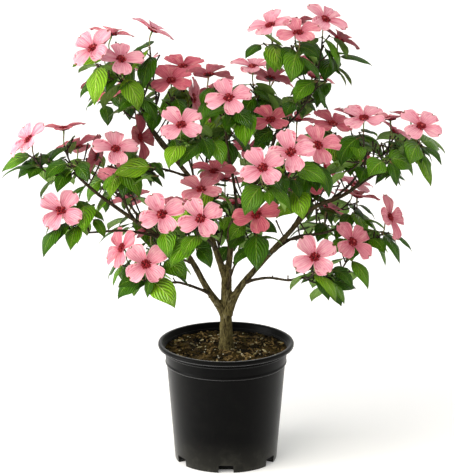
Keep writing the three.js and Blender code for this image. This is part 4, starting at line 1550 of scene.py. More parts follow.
@dataclass
class FineGrowth:
    """The finer twigs, and the few leaves on them, that stand between those of the solids."""

    skeleton: Skeleton
    crown: Crown
    box: tuple[Array, Array]  # what the finer leaves stay inside
    starts: Row = (0.22, 0.42, 0.62, 0.82)  # of side twigs, as shares of their twig
    lengths: Span = (12.0, 30.0)
    spread: float = 55.0  # degrees from the twig that carries it
    upturn: float = 0.45
    end_rise: float = 0.25  # how far its end turns up
    girth: float = 1.3
    below: float = 2.0  # how far under an end its leaves stand
    leafy: float = 0.8  # share of the side twigs that carry leaves
    small: float = 0.68  # of the full leaf
    attempts: int = 3
    shoot_gap: float = 32.0  # between the upright shoots of a bough
    shoot_lengths: Span = (26.0, 72.0)
    shoot_lean: float = 0.6
    shoot_bow: float = 0.07
    shoot_first: float = 0.42  # share of the bough that is bare of them
    shoot_root: float = 4.0  # radius at the root of the thinnest main bough
    leafy_shoots: float = 0.7
    twigs: list[list[Twig]] = field(default_factory=list)
    leaves: list[list[Leaf]] = field(default_factory=list)

    def __post_init__(self) -> None:
        """Grow what there is room for in every mass."""
        for number in range(len(self.crown.names)):
            draws = Draws(number + 501)
            self.twigs.append([])
            self.leaves.append([])
            for twig in self.crown.twigs[number]:
                for share in self.starts:
                    self.side_twig(twig, share, number, draws)
            self.shoots(number, Draws(number + 2501))

    def pair(self, root: Array, number: int, draws: Draws) -> list[Leaf]:
        """Give a pair of leaves where there is room for them, well apart from the others.

        Args:
            root: where their stalks leave the twig.
            number: the mass.
            draws: the fine growth's draws.

        Returns:
            The leaves that have room.
        """
        spin = 2 * math.pi * draws.next()
        rule = self.crown.rule
        poses = [rule.pose(root, spin + half * math.pi, draws, self.small) for half in range(2)]
        seated = [self.crown.seat(leaf, number, self.box) for leaf in poses]
        return [leaf for leaf in seated if leaf is not None]

    def shoots(self, number: int, draws: Draws) -> None:
        """Grow thin upright shoots along a main bough, or one at the back, clear of the blooms.

        Args:
            number: the mass that the bough carries.
            draws: the fine growth's draws.
        """
        name = MASSES[self.crown.names[number]].bough
        if BOUGHS[name].root < self.shoot_root and not name.startswith("back"):
            return
        line = self.skeleton.lines[name]
        gap = self.shoot_gap / self.skeleton.fine_step
        for i in np.arange(len(line.fine) * self.shoot_first, len(line.fine) - 1, gap).astype(int):
            here = line.fine[i]
            for _ in range(self.attempts):
                lean = heading(2 * math.pi * draws.next()) * self.shoot_lean
                length = draws.between(*self.shoot_lengths)
                hub = here + unit(lean + UP) * length
                points = np.array([here + (hub - here) * 0.6, hub])
                if not self.crown.misses_blooms(points) or (points > self.box[1]).any():
                    continue
                bend = (here + hub) / 2 - UP * self.shoot_bow * length
                self.twigs[number].append(Twig(here, bend, End(hub), self.girth))
                if draws.next() < self.leafy_shoots:
                    self.leaves[number] += self.pair(hub - UP * self.below, number, draws)
                break

    def side_twig(self, twig: Twig, share: float, number: int, draws: Draws) -> None:
        """Grow a side twig where it finds room.

        Args:
            twig: the twig that carries it.
            share: where on that twig it starts.
            number: the mass.
            draws: the fine growth's draws.
        """
        here, ahead = twig.places([share, min(share + 0.05, 1.0)])
        way = unit(ahead - here)
        for _ in range(self.attempts):
            spin, length = 2 * math.pi * draws.next(), draws.between(*self.lengths)
            side = unit(np.cross(way, heading(spin) + UP * 0.3))
            out = way * math.cos(math.radians(self.spread)) + side * math.sin(math.radians(self.spread))
            out = unit(out + UP * self.upturn)
            hub = here + out * length
            if not self.crown.is_free(np.array([hub, here + out * length * 0.6]), number):
                continue
            rise = unit(out + UP * self.end_rise)
            bend = hub - rise * 0.5 * length
            self.twigs[number].append(Twig(here, bend, End(hub, None, rise), self.girth))
            if draws.next() < self.leafy:
                self.leaves[number] += self.pair(hub - rise * self.below, number, draws)
            return


@dataclass(frozen=True)
class SpurRule:
    """How short bare shoots stand in opposite pairs along a limb, each with a bud at its tip."""

    gap: float = 34.0
    first: float = 40.0  # from the limb's start
    last: float = 14.0  # from its end
    lengths: Span = (1.2, 11.0)
    gap_spread: Span = (0.7, 1.3)
    missing: float = 0.45
    lean: float = 1.15  # how far a shoot leans along its limb
    upturn: float = 0.3
    bow: float = 0.3
    stages: Row = (0.0, 0.5, 0.8, 0.92, 1.0)
    radii: Row = (1.38, 1.2, 1.02, 1.75, 0.7)  # at the stages, of which two are the bud

    def grow(self, line: Line, step: float, draws: Draws) -> list[tuple[Array, Array]]:
        """Grow the shoots of one limb.

        Args:
            line: the limb's lines.
            step: the length of a short step.
            draws: the draws.

        Returns:
            The middle line and the radii of each shoot.
        """
        ways, shares = along(line.fine), np.array(self.stages)
        spin, run, shoots = 2 * math.pi * draws.next(), self.first, []
        while run < step * (len(line.fine) - 1) - self.last:
            i = int(run / step)
            side = unit(np.cross(ways[i], heading(spin) + UP * 0.3))
            for way in (side, -side):
                length = self.lengths[0] + (self.lengths[1] - self.lengths[0]) * draws.next() ** 2
                if draws.next() < self.missing:
                    continue
                out = unit(way + ways[i] * self.lean + UP * self.upturn)
                reach = line.fine_radii[i] + length
                bend = UP * self.bow * length
                points = line.fine[i] + np.outer(shares * reach, out) + np.outer(shares**2, bend)
                shoots.append((points, np.array(self.radii)))
            spin += math.pi / 2
            run += self.gap * draws.between(*self.gap_spread)
        return shoots


# ---- leaf and bract meshes ----


@dataclass(frozen=True)
class BladeMesh:
    """The mesh of a thin blade: an upper and an under face that share their margin.

    Columns run from -1 at one margin to 1 at the other, and the under face has only those between.
    """

    shares: Row
    widths: Row
    columns: Row
    under: Row

    MAP = "blade"

    def grid(self, columns: Row) -> tuple[Array, Array, Array]:
        """Give each corner's share along, its column, and the blade's width there."""
        share = np.repeat(self.shares, len(columns))
        return share, np.tile(columns, len(self.shares)), np.repeat(self.widths, len(columns))

    def spots(self) -> Array:
        """Give each corner's place on the blade's own map, the upper face's corners first.

        Returns:
            How far across each lies, from 0 to 1, and how far along.
        """
        both = zip(self.grid(self.columns), self.grid(self.under))
        share, column, _ = (np.concatenate(pair) for pair in both)
        return np.column_stack([(column + 1) / 2, share])

    def faces(self, upper: int, under: int) -> tuple[Faces, list[int]]:
        """Give the faces with their marks.

        Args:
            upper: the number of the upper face's finish.
            under: the number of the under face's.

        Returns:
            The faces, as numbers of the upper corners and then of the under ones, and the marks.
        """
        rows, across, below = len(self.shares), len(self.columns), len(self.under)
        keel = rows * across
        lanes = [
            [row * across, *range(keel + row * below, keel + (row + 1) * below), (row + 1) * across - 1]
            for row in range(rows)
        ]
        faces: Faces = []
        marks: list[int] = []
        for row in range(rows - 1):
            for a in range(row * across, (row + 1) * across - 1):
                faces.append((a, a + 1, a + across + 1, a + across))
            here, there = lanes[row], lanes[row + 1]
            for i in range(below + 1):
                faces.append((here[i], there[i], there[i + 1], here[i + 1]))
            marks += [upper] * (across - 1) + [under] * (below + 1)
        first = [*range(across - 1, -1, -1), *lanes[0][1:-1]]
        last = [*range(keel - across, keel), *lanes[-1][-2:0:-1]]
        return [*faces, tuple(first), tuple(last)], [*marks, under, under]


LEAF_BLADE = BladeMesh(
    (0.0, 0.05, 0.13, 0.25, 0.4, 0.55, 0.69, 0.81, 0.91, 1.0),
    (0.04, 0.36, 0.7, 0.94, 1.0, 0.9, 0.7, 0.45, 0.21, 0.015),
    (-1.0, -0.52, 0.0, 0.52, 1.0),
    (0.0,),
)
BRACT_BLADE = BladeMesh(
    (0.0, 0.12, 0.28, 0.46, 0.64, 0.81, 0.94, 1.0),
    (0.24, 0.4, 0.64, 0.87, 1.0, 0.99, 0.86, 0.68),
    (-1.0, -0.74, -0.48, -0.22, 0.0, 0.22, 0.48, 0.74, 1.0),
    (-0.5, 0.0, 0.5),
)


@dataclass
class Foliage:
    """The leaves of each mass, dealt out among a few greens."""

    crown: Crown
    growth: FineGrowth
    groove: float = 0.7  # how deep the midrib lies, in millimetres
    swell: float = 1.5  # how far each half of the blade swells up
    keel: float = 0.45
    wave: float = 1.3  # how high the margin's waves stand
    waves: float = 9.0  # how closely they follow each other
    sickle: float = 0.16  # how far a tip may bend sideways, of the width
    smallest: float = 0.88  # a leaf's length, against the room that it has
    sunny: Span = (0.46, 0.29)  # shares of mid and fresh green, and the rest is deep
    shaded: Span = (0.32, 0.08)  # the same for the masses at the back, with more deep green as painted shade
    inner: Span = (0.12, 0.02)  # the same for the finer leaves, which stand deeper, with deep green as painted shade

    UNDER = 3

    def tints(self) -> list[Material]:
        """Build the greens of the upper faces, and the under face last.

        Returns:
            The materials, by mark.
        """
        faces = [
            LeafFace("mid_green", "#5d9208", "#a9c94e", 0.34, 1.6),
            LeafFace("fresh_green", "#7eb01a", "#c3dc68", 0.36, 1.6),
            LeafFace("deep_green", "#386500", "#80a632", 0.32, 1.6),
            LeafFace("under", "#7ba043", "#a8c274", 0.62, 0.8),
        ]
        return [face.make() for face in faces]

    def add_leaf(self, stock: Stock, leaf: Leaf, tint: int, draws: Draws) -> None:
        """Add one leaf to a mass's stock.

        Args:
            stock: the mass's leaves.
            leaf: its place and pose.
            tint: the number of its green.
            draws: draws for its small unevenness.
        """
        share, column, width = LEAF_BLADE.grid(LEAF_BLADE.columns)
        phase, sickle = 2 * math.pi * draws.next(), self.sickle * (draws.next() - 0.5)
        leaf = replace(leaf, length=leaf.length * draws.between(self.smallest, 1.0))
        half = column * width / 2
        bulge = self.swell * np.sin(math.pi * np.minimum(np.abs(column), 1.0)) * width
        sink = self.groove * (column == 0) * width
        ripple = self.wave * column**2 * np.sin(self.waves * share + phase + column) * width
        upper = leaf.points(share, half + sickle * share**2, bulge - sink + ripple)
        share, column, width = LEAF_BLADE.grid(LEAF_BLADE.under)
        under = leaf.points(share, column * width / 2 + sickle * share**2, -self.groove * width - self.keel)
        stock.add(np.vstack([upper, under]), *LEAF_BLADE.faces(tint, self.UNDER), LEAF_BLADE.spots())

    def build(self) -> None:
        """Make the leaves of each mass, which stand for the mass's solid."""
        tints = self.tints()
        for number, name in enumerate(self.crown.names):
            draws = Draws(number + 901)
            stock = Stock()
            # painted shade: leaves at the back and inside the crown get the deeper greens
            outer = self.shaded if name.startswith("back") else self.sunny
            for leaves, (mid, fresh) in (
                (self.crown.leaves[number], outer),
                (self.growth.leaves[number], self.inner),
            ):
                for leaf in leaves:
                    pick = draws.next()
                    tint = 0 if pick < mid else 1 if pick < mid + fresh else 2
                    self.add_leaf(stock, leaf, tint, draws)
            made = stock.piece(f"{name}_leaves", tints, 75.0)
            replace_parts(report(made), f"{name}_mass")


@dataclass
class Blossom:
    """The blooms: four bracts round a button of small flowers."""

    crown: Crown
    length: float = 47.0
    width: float = 36.0
    cups: Span = (11.0, 17.0)
    notch: float = 0.085  # of the length
    corner: float = 0.13  # how far the end's corners lie back, of the length
    spoon: float = 0.13  # how far the margins rise at mid length, of the width
    recurve: float = 4.5  # how far the end bends back
    keel: float = 0.35
    ruffle: float = 1.3
    ruffles: float = 7.0  # how closely the ruffles follow each other
    pleat: float = 0.42  # how far each lengthwise fold stands up or down
    pleats: float = 13.6  # how closely the folds lie
    smallest: float = 0.93  # a bract's size, against the largest
    twist: float = 0.1
    unevenness: float = 0.4  # of the spoon and the bent end
    button: float = 10.4  # radius of the button
    button_height: float = 6.8
    core_height: float = 3.2
    floret: float = 2.45  # radius of one of its flowers
    florets: int = 23
    floret_lean: float = 0.75
    floret_rise: float = 1.1  # how much higher one may stand than its neighbours
    rosy: float = 0.12  # share of the flowers that are paler
    golden_turn: float = 2.39996  # from one flower to the next, as on a sunflower's head

    UNDER = 3
    SCAR = 4

    def faces_of_bract(self) -> list[Material]:
        """Build the upper faces by tone, the deeper ones partly painted shade, then the under face and the
        scar at the notch.

        Returns:
            The materials, by mark.
        """
        faces = [
            BractFace("light_pink", "#e7a0ad", "#bf5066", "#f3c9c3"),
            BractFace("mid_pink", "#db8491", "#b04558", "#ecb5ad"),
            BractFace("deep_pink", "#cd6473", "#973544", "#dc9a90"),
            BractFace("under_pink", "#cf7080", "#a8495a", "#dea098"),
        ]
        faces.append(CloudedSkin("dogwood_bract_scar", "#8a5a3e", "#683a26"))
        return [face.make() for face in faces]

    def add_bract(self, stock: Stock, bloom: Bloom, k: int, draws: Draws) -> None:
        """Add one bract to a mass's stock.

        Args:
            stock: the mass's bracts.
            bloom: its bloom.
            k: which of the four it is.
            draws: draws for its small unevenness.
        """
        scale, phase = draws.between(self.smallest, 1.0), 2 * math.pi * draws.next()
        twist, bow = self.twist * (draws.next() - 0.5), 1 + self.unevenness * (draws.next() - 0.5)
        cup = math.radians(self.cups[k % 2])

        def places(columns: Row, under: float) -> Array:
            """Give the corners in some columns.

            Args:
                columns: the columns, from -1 at one margin to 1 at the other.
                under: how far they lie under the upper face.

            Returns:
                The corners.
            """
            at, side, wide = BRACT_BLADE.grid(columns)
            end = 1 - self.notch * np.exp(-((side / 0.2) ** 2)) - self.corner * np.abs(side) ** 2.2
            reach = self.length * scale * at * (1 + (end - 1) * at**3)
            span = self.width / 2 * wide * side + twist * reach
            spoon = self.spoon * self.width * side**2 * np.sin(math.pi * at**0.8) * bow
            ripple = self.ruffle * side**2 * np.sin(self.ruffles * at + phase + 2 * side)
            fold = -self.pleat * np.cos(self.pleats * np.abs(side) ** 0.93)
            fold = fold * np.sin(math.pi * np.minimum(at * 1.15, 1))
            lift = reach * math.tan(cup) + spoon + ripple + fold - self.recurve * bow * at**3 - under
            way = bloom.bract_way(k)
            beside = np.cross(bloom.face, way)
            level = np.outer(reach * math.cos(cup), way) + np.outer(span, beside)
            return bloom.centre + level + np.outer(lift * math.cos(cup), bloom.face)

        corners = np.vstack([places(BRACT_BLADE.columns, 0.0), places(BRACT_BLADE.under, self.keel)])
        faces, marks = BRACT_BLADE.faces(list(ToneAndShade).index(bloom.tone), self.UNDER)
        across, below = len(BRACT_BLADE.columns), len(BRACT_BLADE.under)
        middle = (len(BRACT_BLADE.shares) - 2) * (across + below) + across // 2
        marks[middle - 1] = marks[middle] = self.SCAR
        stock.add(corners, faces, marks, BRACT_BLADE.spots())

    def add_button(self, stock: Stock, bloom: Bloom, draws: Draws) -> None:
        """Add a bloom's button: small flowers packed on a low dome.

        Args:
            stock: the buttons.
            bloom: the bloom.
            draws: draws for its small unevenness.
        """
        stages = np.array((0.0, 0.62, 0.9, 1.0))
        swelling = self.floret * np.array((0.55, 0.95, 0.7, 0.3))
        for i in range(self.florets):
            ring = math.sqrt((i + 0.4) / self.florets)
            angle = i * self.golden_turn + 0.3 * draws.next()
            out = bloom.across * math.cos(angle) + bloom.beside * math.sin(angle)
            lean = unit(bloom.face + out * self.floret_lean * ring)
            height = self.button_height * (1 - 0.5 * ring**2) + self.floret_rise * draws.next()
            foot = bloom.centre + out * ring * (self.button - self.floret) - bloom.face * 0.4
            radii = swelling * (0.9 + 0.2 * draws.next())
            corners, faces = tube(foot + np.outer(stages * height, lean), radii, 6)
            stock.add(corners, faces, 1 if draws.next() < self.rosy else 0)
        levels = np.array((0.0, 0.5, 0.85, 1.0)) * self.core_height - 0.6
        radii = self.button * np.array((0.8, 0.86, 0.6, 0.3))
        stock.add(*tube(bloom.centre + np.outer(levels, bloom.face), radii, 12), 2)

    def build(self, quarters: Mapping[str, Sequence[int]]) -> None:
        """Make the bracts of each mass and the buttons of each quarter.

        Args:
            quarters: the masses of each quarter of the crown, by its name.
        """
        finishes = self.faces_of_bract()
        for number, name in enumerate(self.crown.names):
            draws = Draws(number + 1301)
            stock = Stock()
            for bloom in self.crown.blooms[number]:
                for k in range(4):
                    self.add_bract(stock, bloom, k, draws)
            report(stock.piece(f"{name}_bracts", finishes, 75.0))
        skins = [
            CloudedSkin("dogwood_floret_crimson", "#941a24", "#58090e").make(),
            CloudedSkin("dogwood_floret_rose", "#bc5452", "#8f222b").make(),
            # partly painted shade: the core under the florets is near black, to darken the gaps between
            # them
            CloudedSkin("dogwood_button_core", "#3f0c10", "#2c080b").make(),
        ]
        for quarter, numbers in quarters.items():
            stock, draws = Stock(), Draws(1701 + len(quarter))
            for number in numbers:
                for bloom in self.crown.blooms[number]:
                    self.add_button(stock, bloom, draws)
            report(stock.piece(f"{quarter}_flower_buttons", skins, 40.0))


@dataclass
class Twiggery:
    """The twigs, bare shoots, leaf stalks and flower stalks."""

    skeleton: Skeleton
    crown: Crown
    growth: FineGrowth
    step: float = 7.0
    tip: float = 1.45
    joints: tuple[Span, ...] = ((0.3, 0.0), (0.22, 13.5))  # swelling, place under the end
    joint_length: float = 3.0
    stalk: Span = (1.15, 1.5)  # radius at its foot and under the bloom
    stalk_steps: int = 7
    stalk_rise: float = 0.45  # share of the stalk that is nearly straight at each end
    stalk_flare: float = 1.25
    leaf_stalk: Span = (0.95, 0.75)
    leaf_stalk_end: Span = (0.08, -0.55)  # share of the blade, and how far under it
    sides: int = 7
    leaf_stalk_sides: int = 5
    spur_sides: int = 6

    def add_twig(self, stock: Stock, twig: Twig) -> None:
        """Add one twig, swollen where its leaves stand.

        Args:
            stock: the quarter's twigs.
            twig: the twig.
        """
        length = float(np.linalg.norm(twig.end.hub - twig.start))
        steps = max(4, round(length / self.step))
        shares = np.arange(steps + 1) / steps
        points = twig.places(shares)
        radii = twig.root + (self.tip - twig.root) * shares
        for swelling, place in self.joints:
            away = ((shares - 1) * length + place) / self.joint_length
            radii *= 1 + swelling * np.exp(-(away**2))
        if twig.foot is not None:
            points, radii = np.vstack([twig.foot, points]), np.concatenate([[twig.root], radii])
        stock.add(*tube(points, radii, self.sides), 0)

    def add_flower_stalk(self, stock: Stock, end: End) -> None:
        """Add the stalk from a twig's end to the bloom over it.

        Args:
            stock: the quarter's twigs.
            end: the twig's end.
        """
        bloom = end.bloom
        reach = self.stalk_rise * bloom.stalk
        low, high = end.hub + end.rise * reach, bloom.centre - bloom.face * reach
        shares = np.arange(self.stalk_steps + 1)[:, None] / self.stalk_steps
        stay = 1 - shares
        points = stay**3 * end.hub + 3 * stay**2 * shares * low + 3 * stay * shares**2 * high
        points = points + shares**3 * (bloom.centre - bloom.face * 0.3)
        radii = np.linspace(*self.stalk, len(points))
        radii[-2:] *= self.stalk_flare
        stock.add(*tube(points, radii, self.sides), 1)

    def add_leaf_stalk(self, stock: Stock, leaf: Leaf) -> None:
        """Add a leaf's stalk, which runs on a little into its midrib.

        Args:
            stock: the quarter's twigs.
            leaf: the leaf.
        """
        share, under = self.leaf_stalk_end
        inner = leaf.points(np.array([0.0, share]), np.zeros(2), under)
        points = np.vstack([leaf.root, (leaf.root + leaf.base) / 2 - UP * 0.3, inner])
        stock.add(*tube(points, np.linspace(*self.leaf_stalk, len(points)), self.leaf_stalk_sides), 1)

    def build(self, quarters: Mapping[str, Sequence[int]]) -> None:
        """Make the twigs and stalks of each quarter.

        Args:
            quarters: the masses of each quarter of the crown, by its name.
        """
        finishes = [TwigBark().make(), GreenStem().make()]
        for quarter, numbers in quarters.items():
            stock = Stock()
            for number in numbers:
                line = self.skeleton.lines[MASSES[self.crown.names[number]].bough]
                for shoot in SpurRule().grow(line, self.skeleton.fine_step, Draws(number + 2101)):
                    stock.add(*tube(*shoot, self.spur_sides), 0)
                for twig in self.crown.twigs[number] + self.growth.twigs[number]:
                    self.add_twig(stock, twig)
                for end in self.crown.ends[number]:
                    if end.bloom is not None:
                        self.add_flower_stalk(stock, end)
                for leaf in self.crown.leaves[number] + self.growth.leaves[number]:
                    self.add_leaf_stalk(stock, leaf)
            report(stock.piece(f"{quarter}_twigs_and_stalks", finishes, 60.0))


# ---- pot and soil ----


@dataclass
class NurseryPot:
    """The pot: a tapering wall with a banded neck, a rolled lip and drain notches round its foot."""

    sides: int = 128
    floor: float = 3.0
    profile: tuple[Span, ...] = (
        (60, 0), (93.8, 0), (95.0, 0.5), (95.5, 1.8), (96.5, 13), (99.4, 50), (103.6, 100), (107.8, 150),
        (110.5, 182), (111.0, 186), (112.6, 187), (113.4, 188.2), (113.6, 189.6), (113.3, 191),
        (112.6, 192), (112.7, 194), (113.8, 206), (114.2, 209.6), (115.6, 210.6), (116.0, 212),
        (115.6, 213.4), (114.9, 214.4), (115.4, 216.4), (119.0, 217.4), (124.4, 218.2), (126.4, 219.6),
        (127.0, 221.6), (127.0, 224.2), (126.2, 226), (124.6, 226.9), (122.0, 227), (119.9, 226.6),
        (118.8, 225.2), (118.2, 222.6), (116.2, 216), (113.4, 206), (108.4, 186), (100.6, 90), (93.7, 8),
        (92.5, 4.4), (89, 3), (50, 3),
    )
    pole: float = 4.0  # radius of the disc that closes the floor, above and below
    crease: float = 42.0  # degrees past which an edge stays sharp
    notches: int = 6
    notch: Place = (28.0, 40.0, 30.0)
    notch_round: float = 2.5

    def turned(self) -> bpy.types.Object:
        """Turn the wall, ring by ring, from a small disc under the floor to one on top of it.

        Returns:
            The wall and the floor, as one closed piece.
        """
        bpy.ops.object.select_all(action="DESELECT")
        bpy.ops.mesh.primitive_circle_add(
            vertices=self.sides, radius=self.pole * MILLI, fill_type="TRIFAN", location=(0, 0, 0))
        pot = bpy.context.object
        pot.name = "nursery_pot"
        bpy.ops.object.mode_set(mode="EDIT")
        bpy.ops.mesh.select_all(action="DESELECT")
        bpy.ops.object.mode_set(mode="OBJECT")
        for vertex in pot.data.vertices:
            vertex.select = vertex.co.length > 0.5 * self.pole * MILLI
        for edge in pot.data.edges:
            edge.select = all(pot.data.vertices[v].select for v in edge.vertices)
        bpy.ops.object.mode_set(mode="EDIT")
        bpy.ops.mesh.select_mode(type="EDGE")
        radius, height = self.pole, 0.0
        for next_radius, next_height in (*self.profile, (self.pole, self.floor)):
            rise = (0, 0, (next_height - height) * MILLI)
            bpy.ops.mesh.extrude_edges_move(TRANSFORM_OT_translate={"value": rise})
            share = next_radius / radius
            bpy.ops.transform.resize(value=(share, share, 1), center_override=(0, 0, next_height * MILLI))
            radius, height = next_radius, next_height
        bpy.ops.mesh.extrude_edges_move(TRANSFORM_OT_translate={"value": (0, 0, 0)})
        bpy.ops.mesh.merge(type="CENTER")
        bpy.ops.mesh.select_all(action="SELECT")
        bpy.ops.mesh.normals_make_consistent(inside=False)
        bpy.ops.object.mode_set(mode="OBJECT")
        return pot

    def cutters(self) -> bpy.types.Object:
        """Make the blocks that cut the drain notches.

        Returns:
            The blocks, as one object.
        """
        bpy.ops.object.select_all(action="DESELECT")
        bpy.ops.mesh.primitive_cube_add(size=1, location=(0, 0, 0))
        block = bpy.context.object
        reach = self.profile[1][0] + 1.0
        size = Matrix.Diagonal((*(s * MILLI for s in self.notch), 1))
        block.data.transform(Matrix.Translation((0, -reach * MILLI, 0)) @ size)
        bpy.ops.object.mode_set(mode="EDIT")
        bpy.ops.mesh.select_all(action="SELECT")
        bpy.ops.mesh.bevel(offset=self.notch_round * MILLI, segments=3, affect="EDGES")
        bpy.ops.object.mode_set(mode="OBJECT")
        copies = [block]
        for i in range(1, self.notches):
            copy = block.copy()
            copy.data = block.data.copy()
            copy.data.transform(Matrix.Rotation(2 * math.pi * i / self.notches, 4, "Z"))
            bpy.context.scene.collection.objects.link(copy)
            copies.append(copy)
        for copy in copies:
            copy.select_set(True)
        bpy.context.view_layer.objects.active = block
        bpy.ops.object.join()
        return block

    def build(self) -> None:
        """Make the pot, cut its notches, soften its edges and dress it."""
        pot = self.turned()
        cutters = self.cutters()
        select_only(pot)
        cut = pot.modifiers.new("notches", "BOOLEAN")
        cut.operation, cut.solver, cut.object = "DIFFERENCE", "EXACT", cutters
        bpy.ops.object.modifier_apply(modifier="notches")
        bpy.data.objects.remove(cutters)
        bpy.ops.object.shade_smooth_by_angle(angle=math.radians(self.crease))
        pot.data.materials.clear()
        pot.data.materials.append(MouldedPolypropylene().make())
        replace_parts(report(pot), "pot")


@dataclass(frozen=True)
class Litter:
    """Loose lumps of one sort that lie on the soil."""

    name: str
    count: int
    sizes: tuple[Span, ...]  # ranges of the length, the width and the thickness
    steep: float  # how far a lump may tip up, in degrees
    sunk: Row  # how deep it lies, as a share of its thickness, or a range of that
    marks: tuple[int, ...] = (0,)  # the numbers of its finishes, each as often as it is common

    def draw(self, draws: Draws) -> tuple[Place, int, float]:
        """Draw one lump.

        Args:
            draws: the soil's draws.

        Returns:
            Its size, the number of its finish, and how deep it lies.
        """
        size = tuple(draws.between(*span) for span in self.sizes)
        mark = self.marks[int(draws.next() * len(self.marks))] if len(self.marks) > 1 else self.marks[0]
        sunk = draws.between(*self.sunk) if len(self.sunk) > 1 else self.sunk[0]
        return size, mark, sunk


@dataclass
class PottedSoil:
    """The soil's uneven top, with bark chips, crumbs and perlite on it."""

    radius: float = 114.3
    rings: int = 44
    sides: int = 150
    edge: float = 211.5  # height at the wall
    crown: float = 214.5  # height at the trunk
    depth: float = 10.0
    taper: float = 0.955  # of the bed's underside, as the pot narrows downwards
    lump: Span = (2.3, 1.1)  # how high the broad and the small lumps stand
    lump_size: Span = (21.0, 6.5)
    calm: Span = (4.0, 0.35)  # width of the calmer rim, and what is left of the lumps there
    crease: float = 60.0  # degrees past which an edge of the bed stays sharp
    chip_crease: float = 30.0
    trunk_clear: float = 15.0
    wall_clear: float = 4.0
    seed: int = 77
    litters: tuple[Litter, ...] = (
        Litter("bark_chips", 300, ((5, 19), (2.5, 7), (1.6, 4.0)), 24, (0.1, 0.5), (0, 0, 1, 1, 1, 1, 2)),
        Litter("soil_crumbs", 900, ((2, 6), (1.5, 4), (1.2, 3.4)), 50, (0.2,), (0, 0, 1, 2)),
        Litter("perlite_grains", 40, ((2, 4.2), (1.8, 3.4), (1.6, 3)), 60, (0.15,)),
    )

    def height(self, x: float, y: float) -> float:
        """Give the soil's height at a place.

        Args:
            x: how far to the right it lies.
            y: how far to the back.

        Returns:
            The height.
        """
        out = math.hypot(x, y)
        level = self.crown + (self.edge - self.crown) * min(1.0, out / self.radius) ** 1.5
        broad, small = self.lump_size
        lumps = self.lump[0] * noise.noise(Vector((x / broad, y / broad, 3.1)))
        lumps += self.lump[1] * noise.noise(Vector((x / small, y / small, 8.7)))
        rim, left = self.calm
        return level + lumps * min(1.0, (self.radius - out) / rim + left)

    def bed(self) -> bpy.types.Object:
        """Make the bed: a disc of many rings, lumped, with a body under it.

        Returns:
            The bed.
        """
        bpy.ops.object.select_all(action="DESELECT")
        bpy.ops.mesh.primitive_circle_add(
            vertices=self.sides, radius=self.radius * MILLI, fill_type="NGON", location=(0, 0, 0))
        bed = bpy.context.object
        bed.name = "soil_bed"
        bpy.ops.object.mode_set(mode="EDIT")
        bpy.ops.mesh.select_all(action="SELECT")
        bpy.ops.mesh.select_mode(type="FACE")
        width = self.radius / (self.rings + 1) * MILLI
        for _ in range(self.rings):
            bpy.ops.mesh.inset(thickness=width)
        bpy.ops.mesh.poke()
        bpy.ops.mesh.select_all(action="SELECT")
        bpy.ops.mesh.extrude_region_move(TRANSFORM_OT_translate={"value": (0, 0, self.depth * MILLI)})
        bpy.ops.mesh.select_all(action="SELECT")
        bpy.ops.mesh.normals_make_consistent(inside=False)
        bpy.ops.object.mode_set(mode="OBJECT")
        for vertex in bed.data.vertices:
            x, y, z = vertex.co / MILLI
            top = self.height(x, y)
            if z < self.depth / 2:
                top = min(top, self.edge) - self.depth
                vertex.co.xy *= self.taper
            vertex.co.z = top * MILLI
        select_only(bed)
        bpy.ops.object.shade_smooth_by_angle(angle=math.radians(self.crease))
        return bed

    def spot(self, draws: Draws) -> Span:
        """Draw a place on the soil, clear of the trunk and the wall.

        Args:
            draws: the draws.

        Returns:
            How far to the right it lies, and how far to the back.
        """
        out = math.sqrt(draws.between(self.trunk_clear**2, (self.radius - self.wall_clear) ** 2))
        angle = 2 * math.pi * draws.next()
        return out * math.cos(angle), out * math.sin(angle)

    def add_lump(
        self, stock: Stock, draws: Draws, size: Place, mark: int, sunk: float, steep: float
    ) -> None:
        """Add one rough six-sided lump that lies in the soil.

        Args:
            stock: what gets it.
            draws: the draws.
            size: its full length, width and thickness.
            mark: the number of its finish.
            sunk: how deep it lies, as a share of its thickness.
            steep: how far it may tip up, in degrees.
        """
        x, y = self.spot(draws)
        points = np.zeros((3, 3))
        points[:, 0] = np.array((-0.5, 0.03, 0.5)) * size[0] * 0.86
        points[1, 1:] = draws.between(-0.5, 0.5), draws.between(0, 0.5)
        girth = np.array([draws.between(0.6, 0.95), 1.0, draws.between(0.55, 0.95)])
        corners, faces = tube(points, girth, 6)
        corners[:, 1] *= size[1] / 2
        corners[:, 2] *= size[2] / 2
        tips = [math.radians(steep) * (2 * draws.next() - 1) for _ in range(2)]
        turn = Matrix.Rotation(2 * math.pi * draws.next(), 3, "Z") @ Matrix.Rotation(tips[0], 3, "Y")
        turn = np.array(turn @ Matrix.Rotation(tips[1], 3, "X"))
        seat = self.height(x, y) + size[2] * (0.5 - sunk)
        stock.add(corners @ turn.T + np.array((x, y, seat)), faces, mark)

    def build(self) -> None:
        """Make the bed and what lies on it, and dress them."""
        bed = self.bed()
        bed.data.materials.clear()
        mix = PottingMix().make()
        bed.data.materials.append(mix)
        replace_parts(report(bed), "soil")
        barks = [
            MilledBark("dark", "#181206", "#3a2e17").make(),
            MilledBark("brown", "#5a4727", "#8b7348").make(),
            MilledBark("dried", "#958861", "#c6ba93").make(),
        ]
        finishes = (barks, [mix, *barks[:2]], [ExpandedPerlite().make()])
        draws = Draws(self.seed)
        for litter, dress in zip(self.litters, finishes):
            stock = Stock()
            for _ in range(litter.count):
                self.add_lump(stock, draws, *litter.draw(draws), litter.steep)
            report(stock.piece(litter.name, dress, self.chip_crease))


# ---- studio ----


@dataclass(frozen=True)
class Lamp:
    """A soft light: a square one with a side, or one with no side that lights the floor evenly."""

    name: str
    place: Place  # in metres
    side: float  # in metres
    power: float  # in watts, or for an even light in watts for each square metre of floor
    tint: str


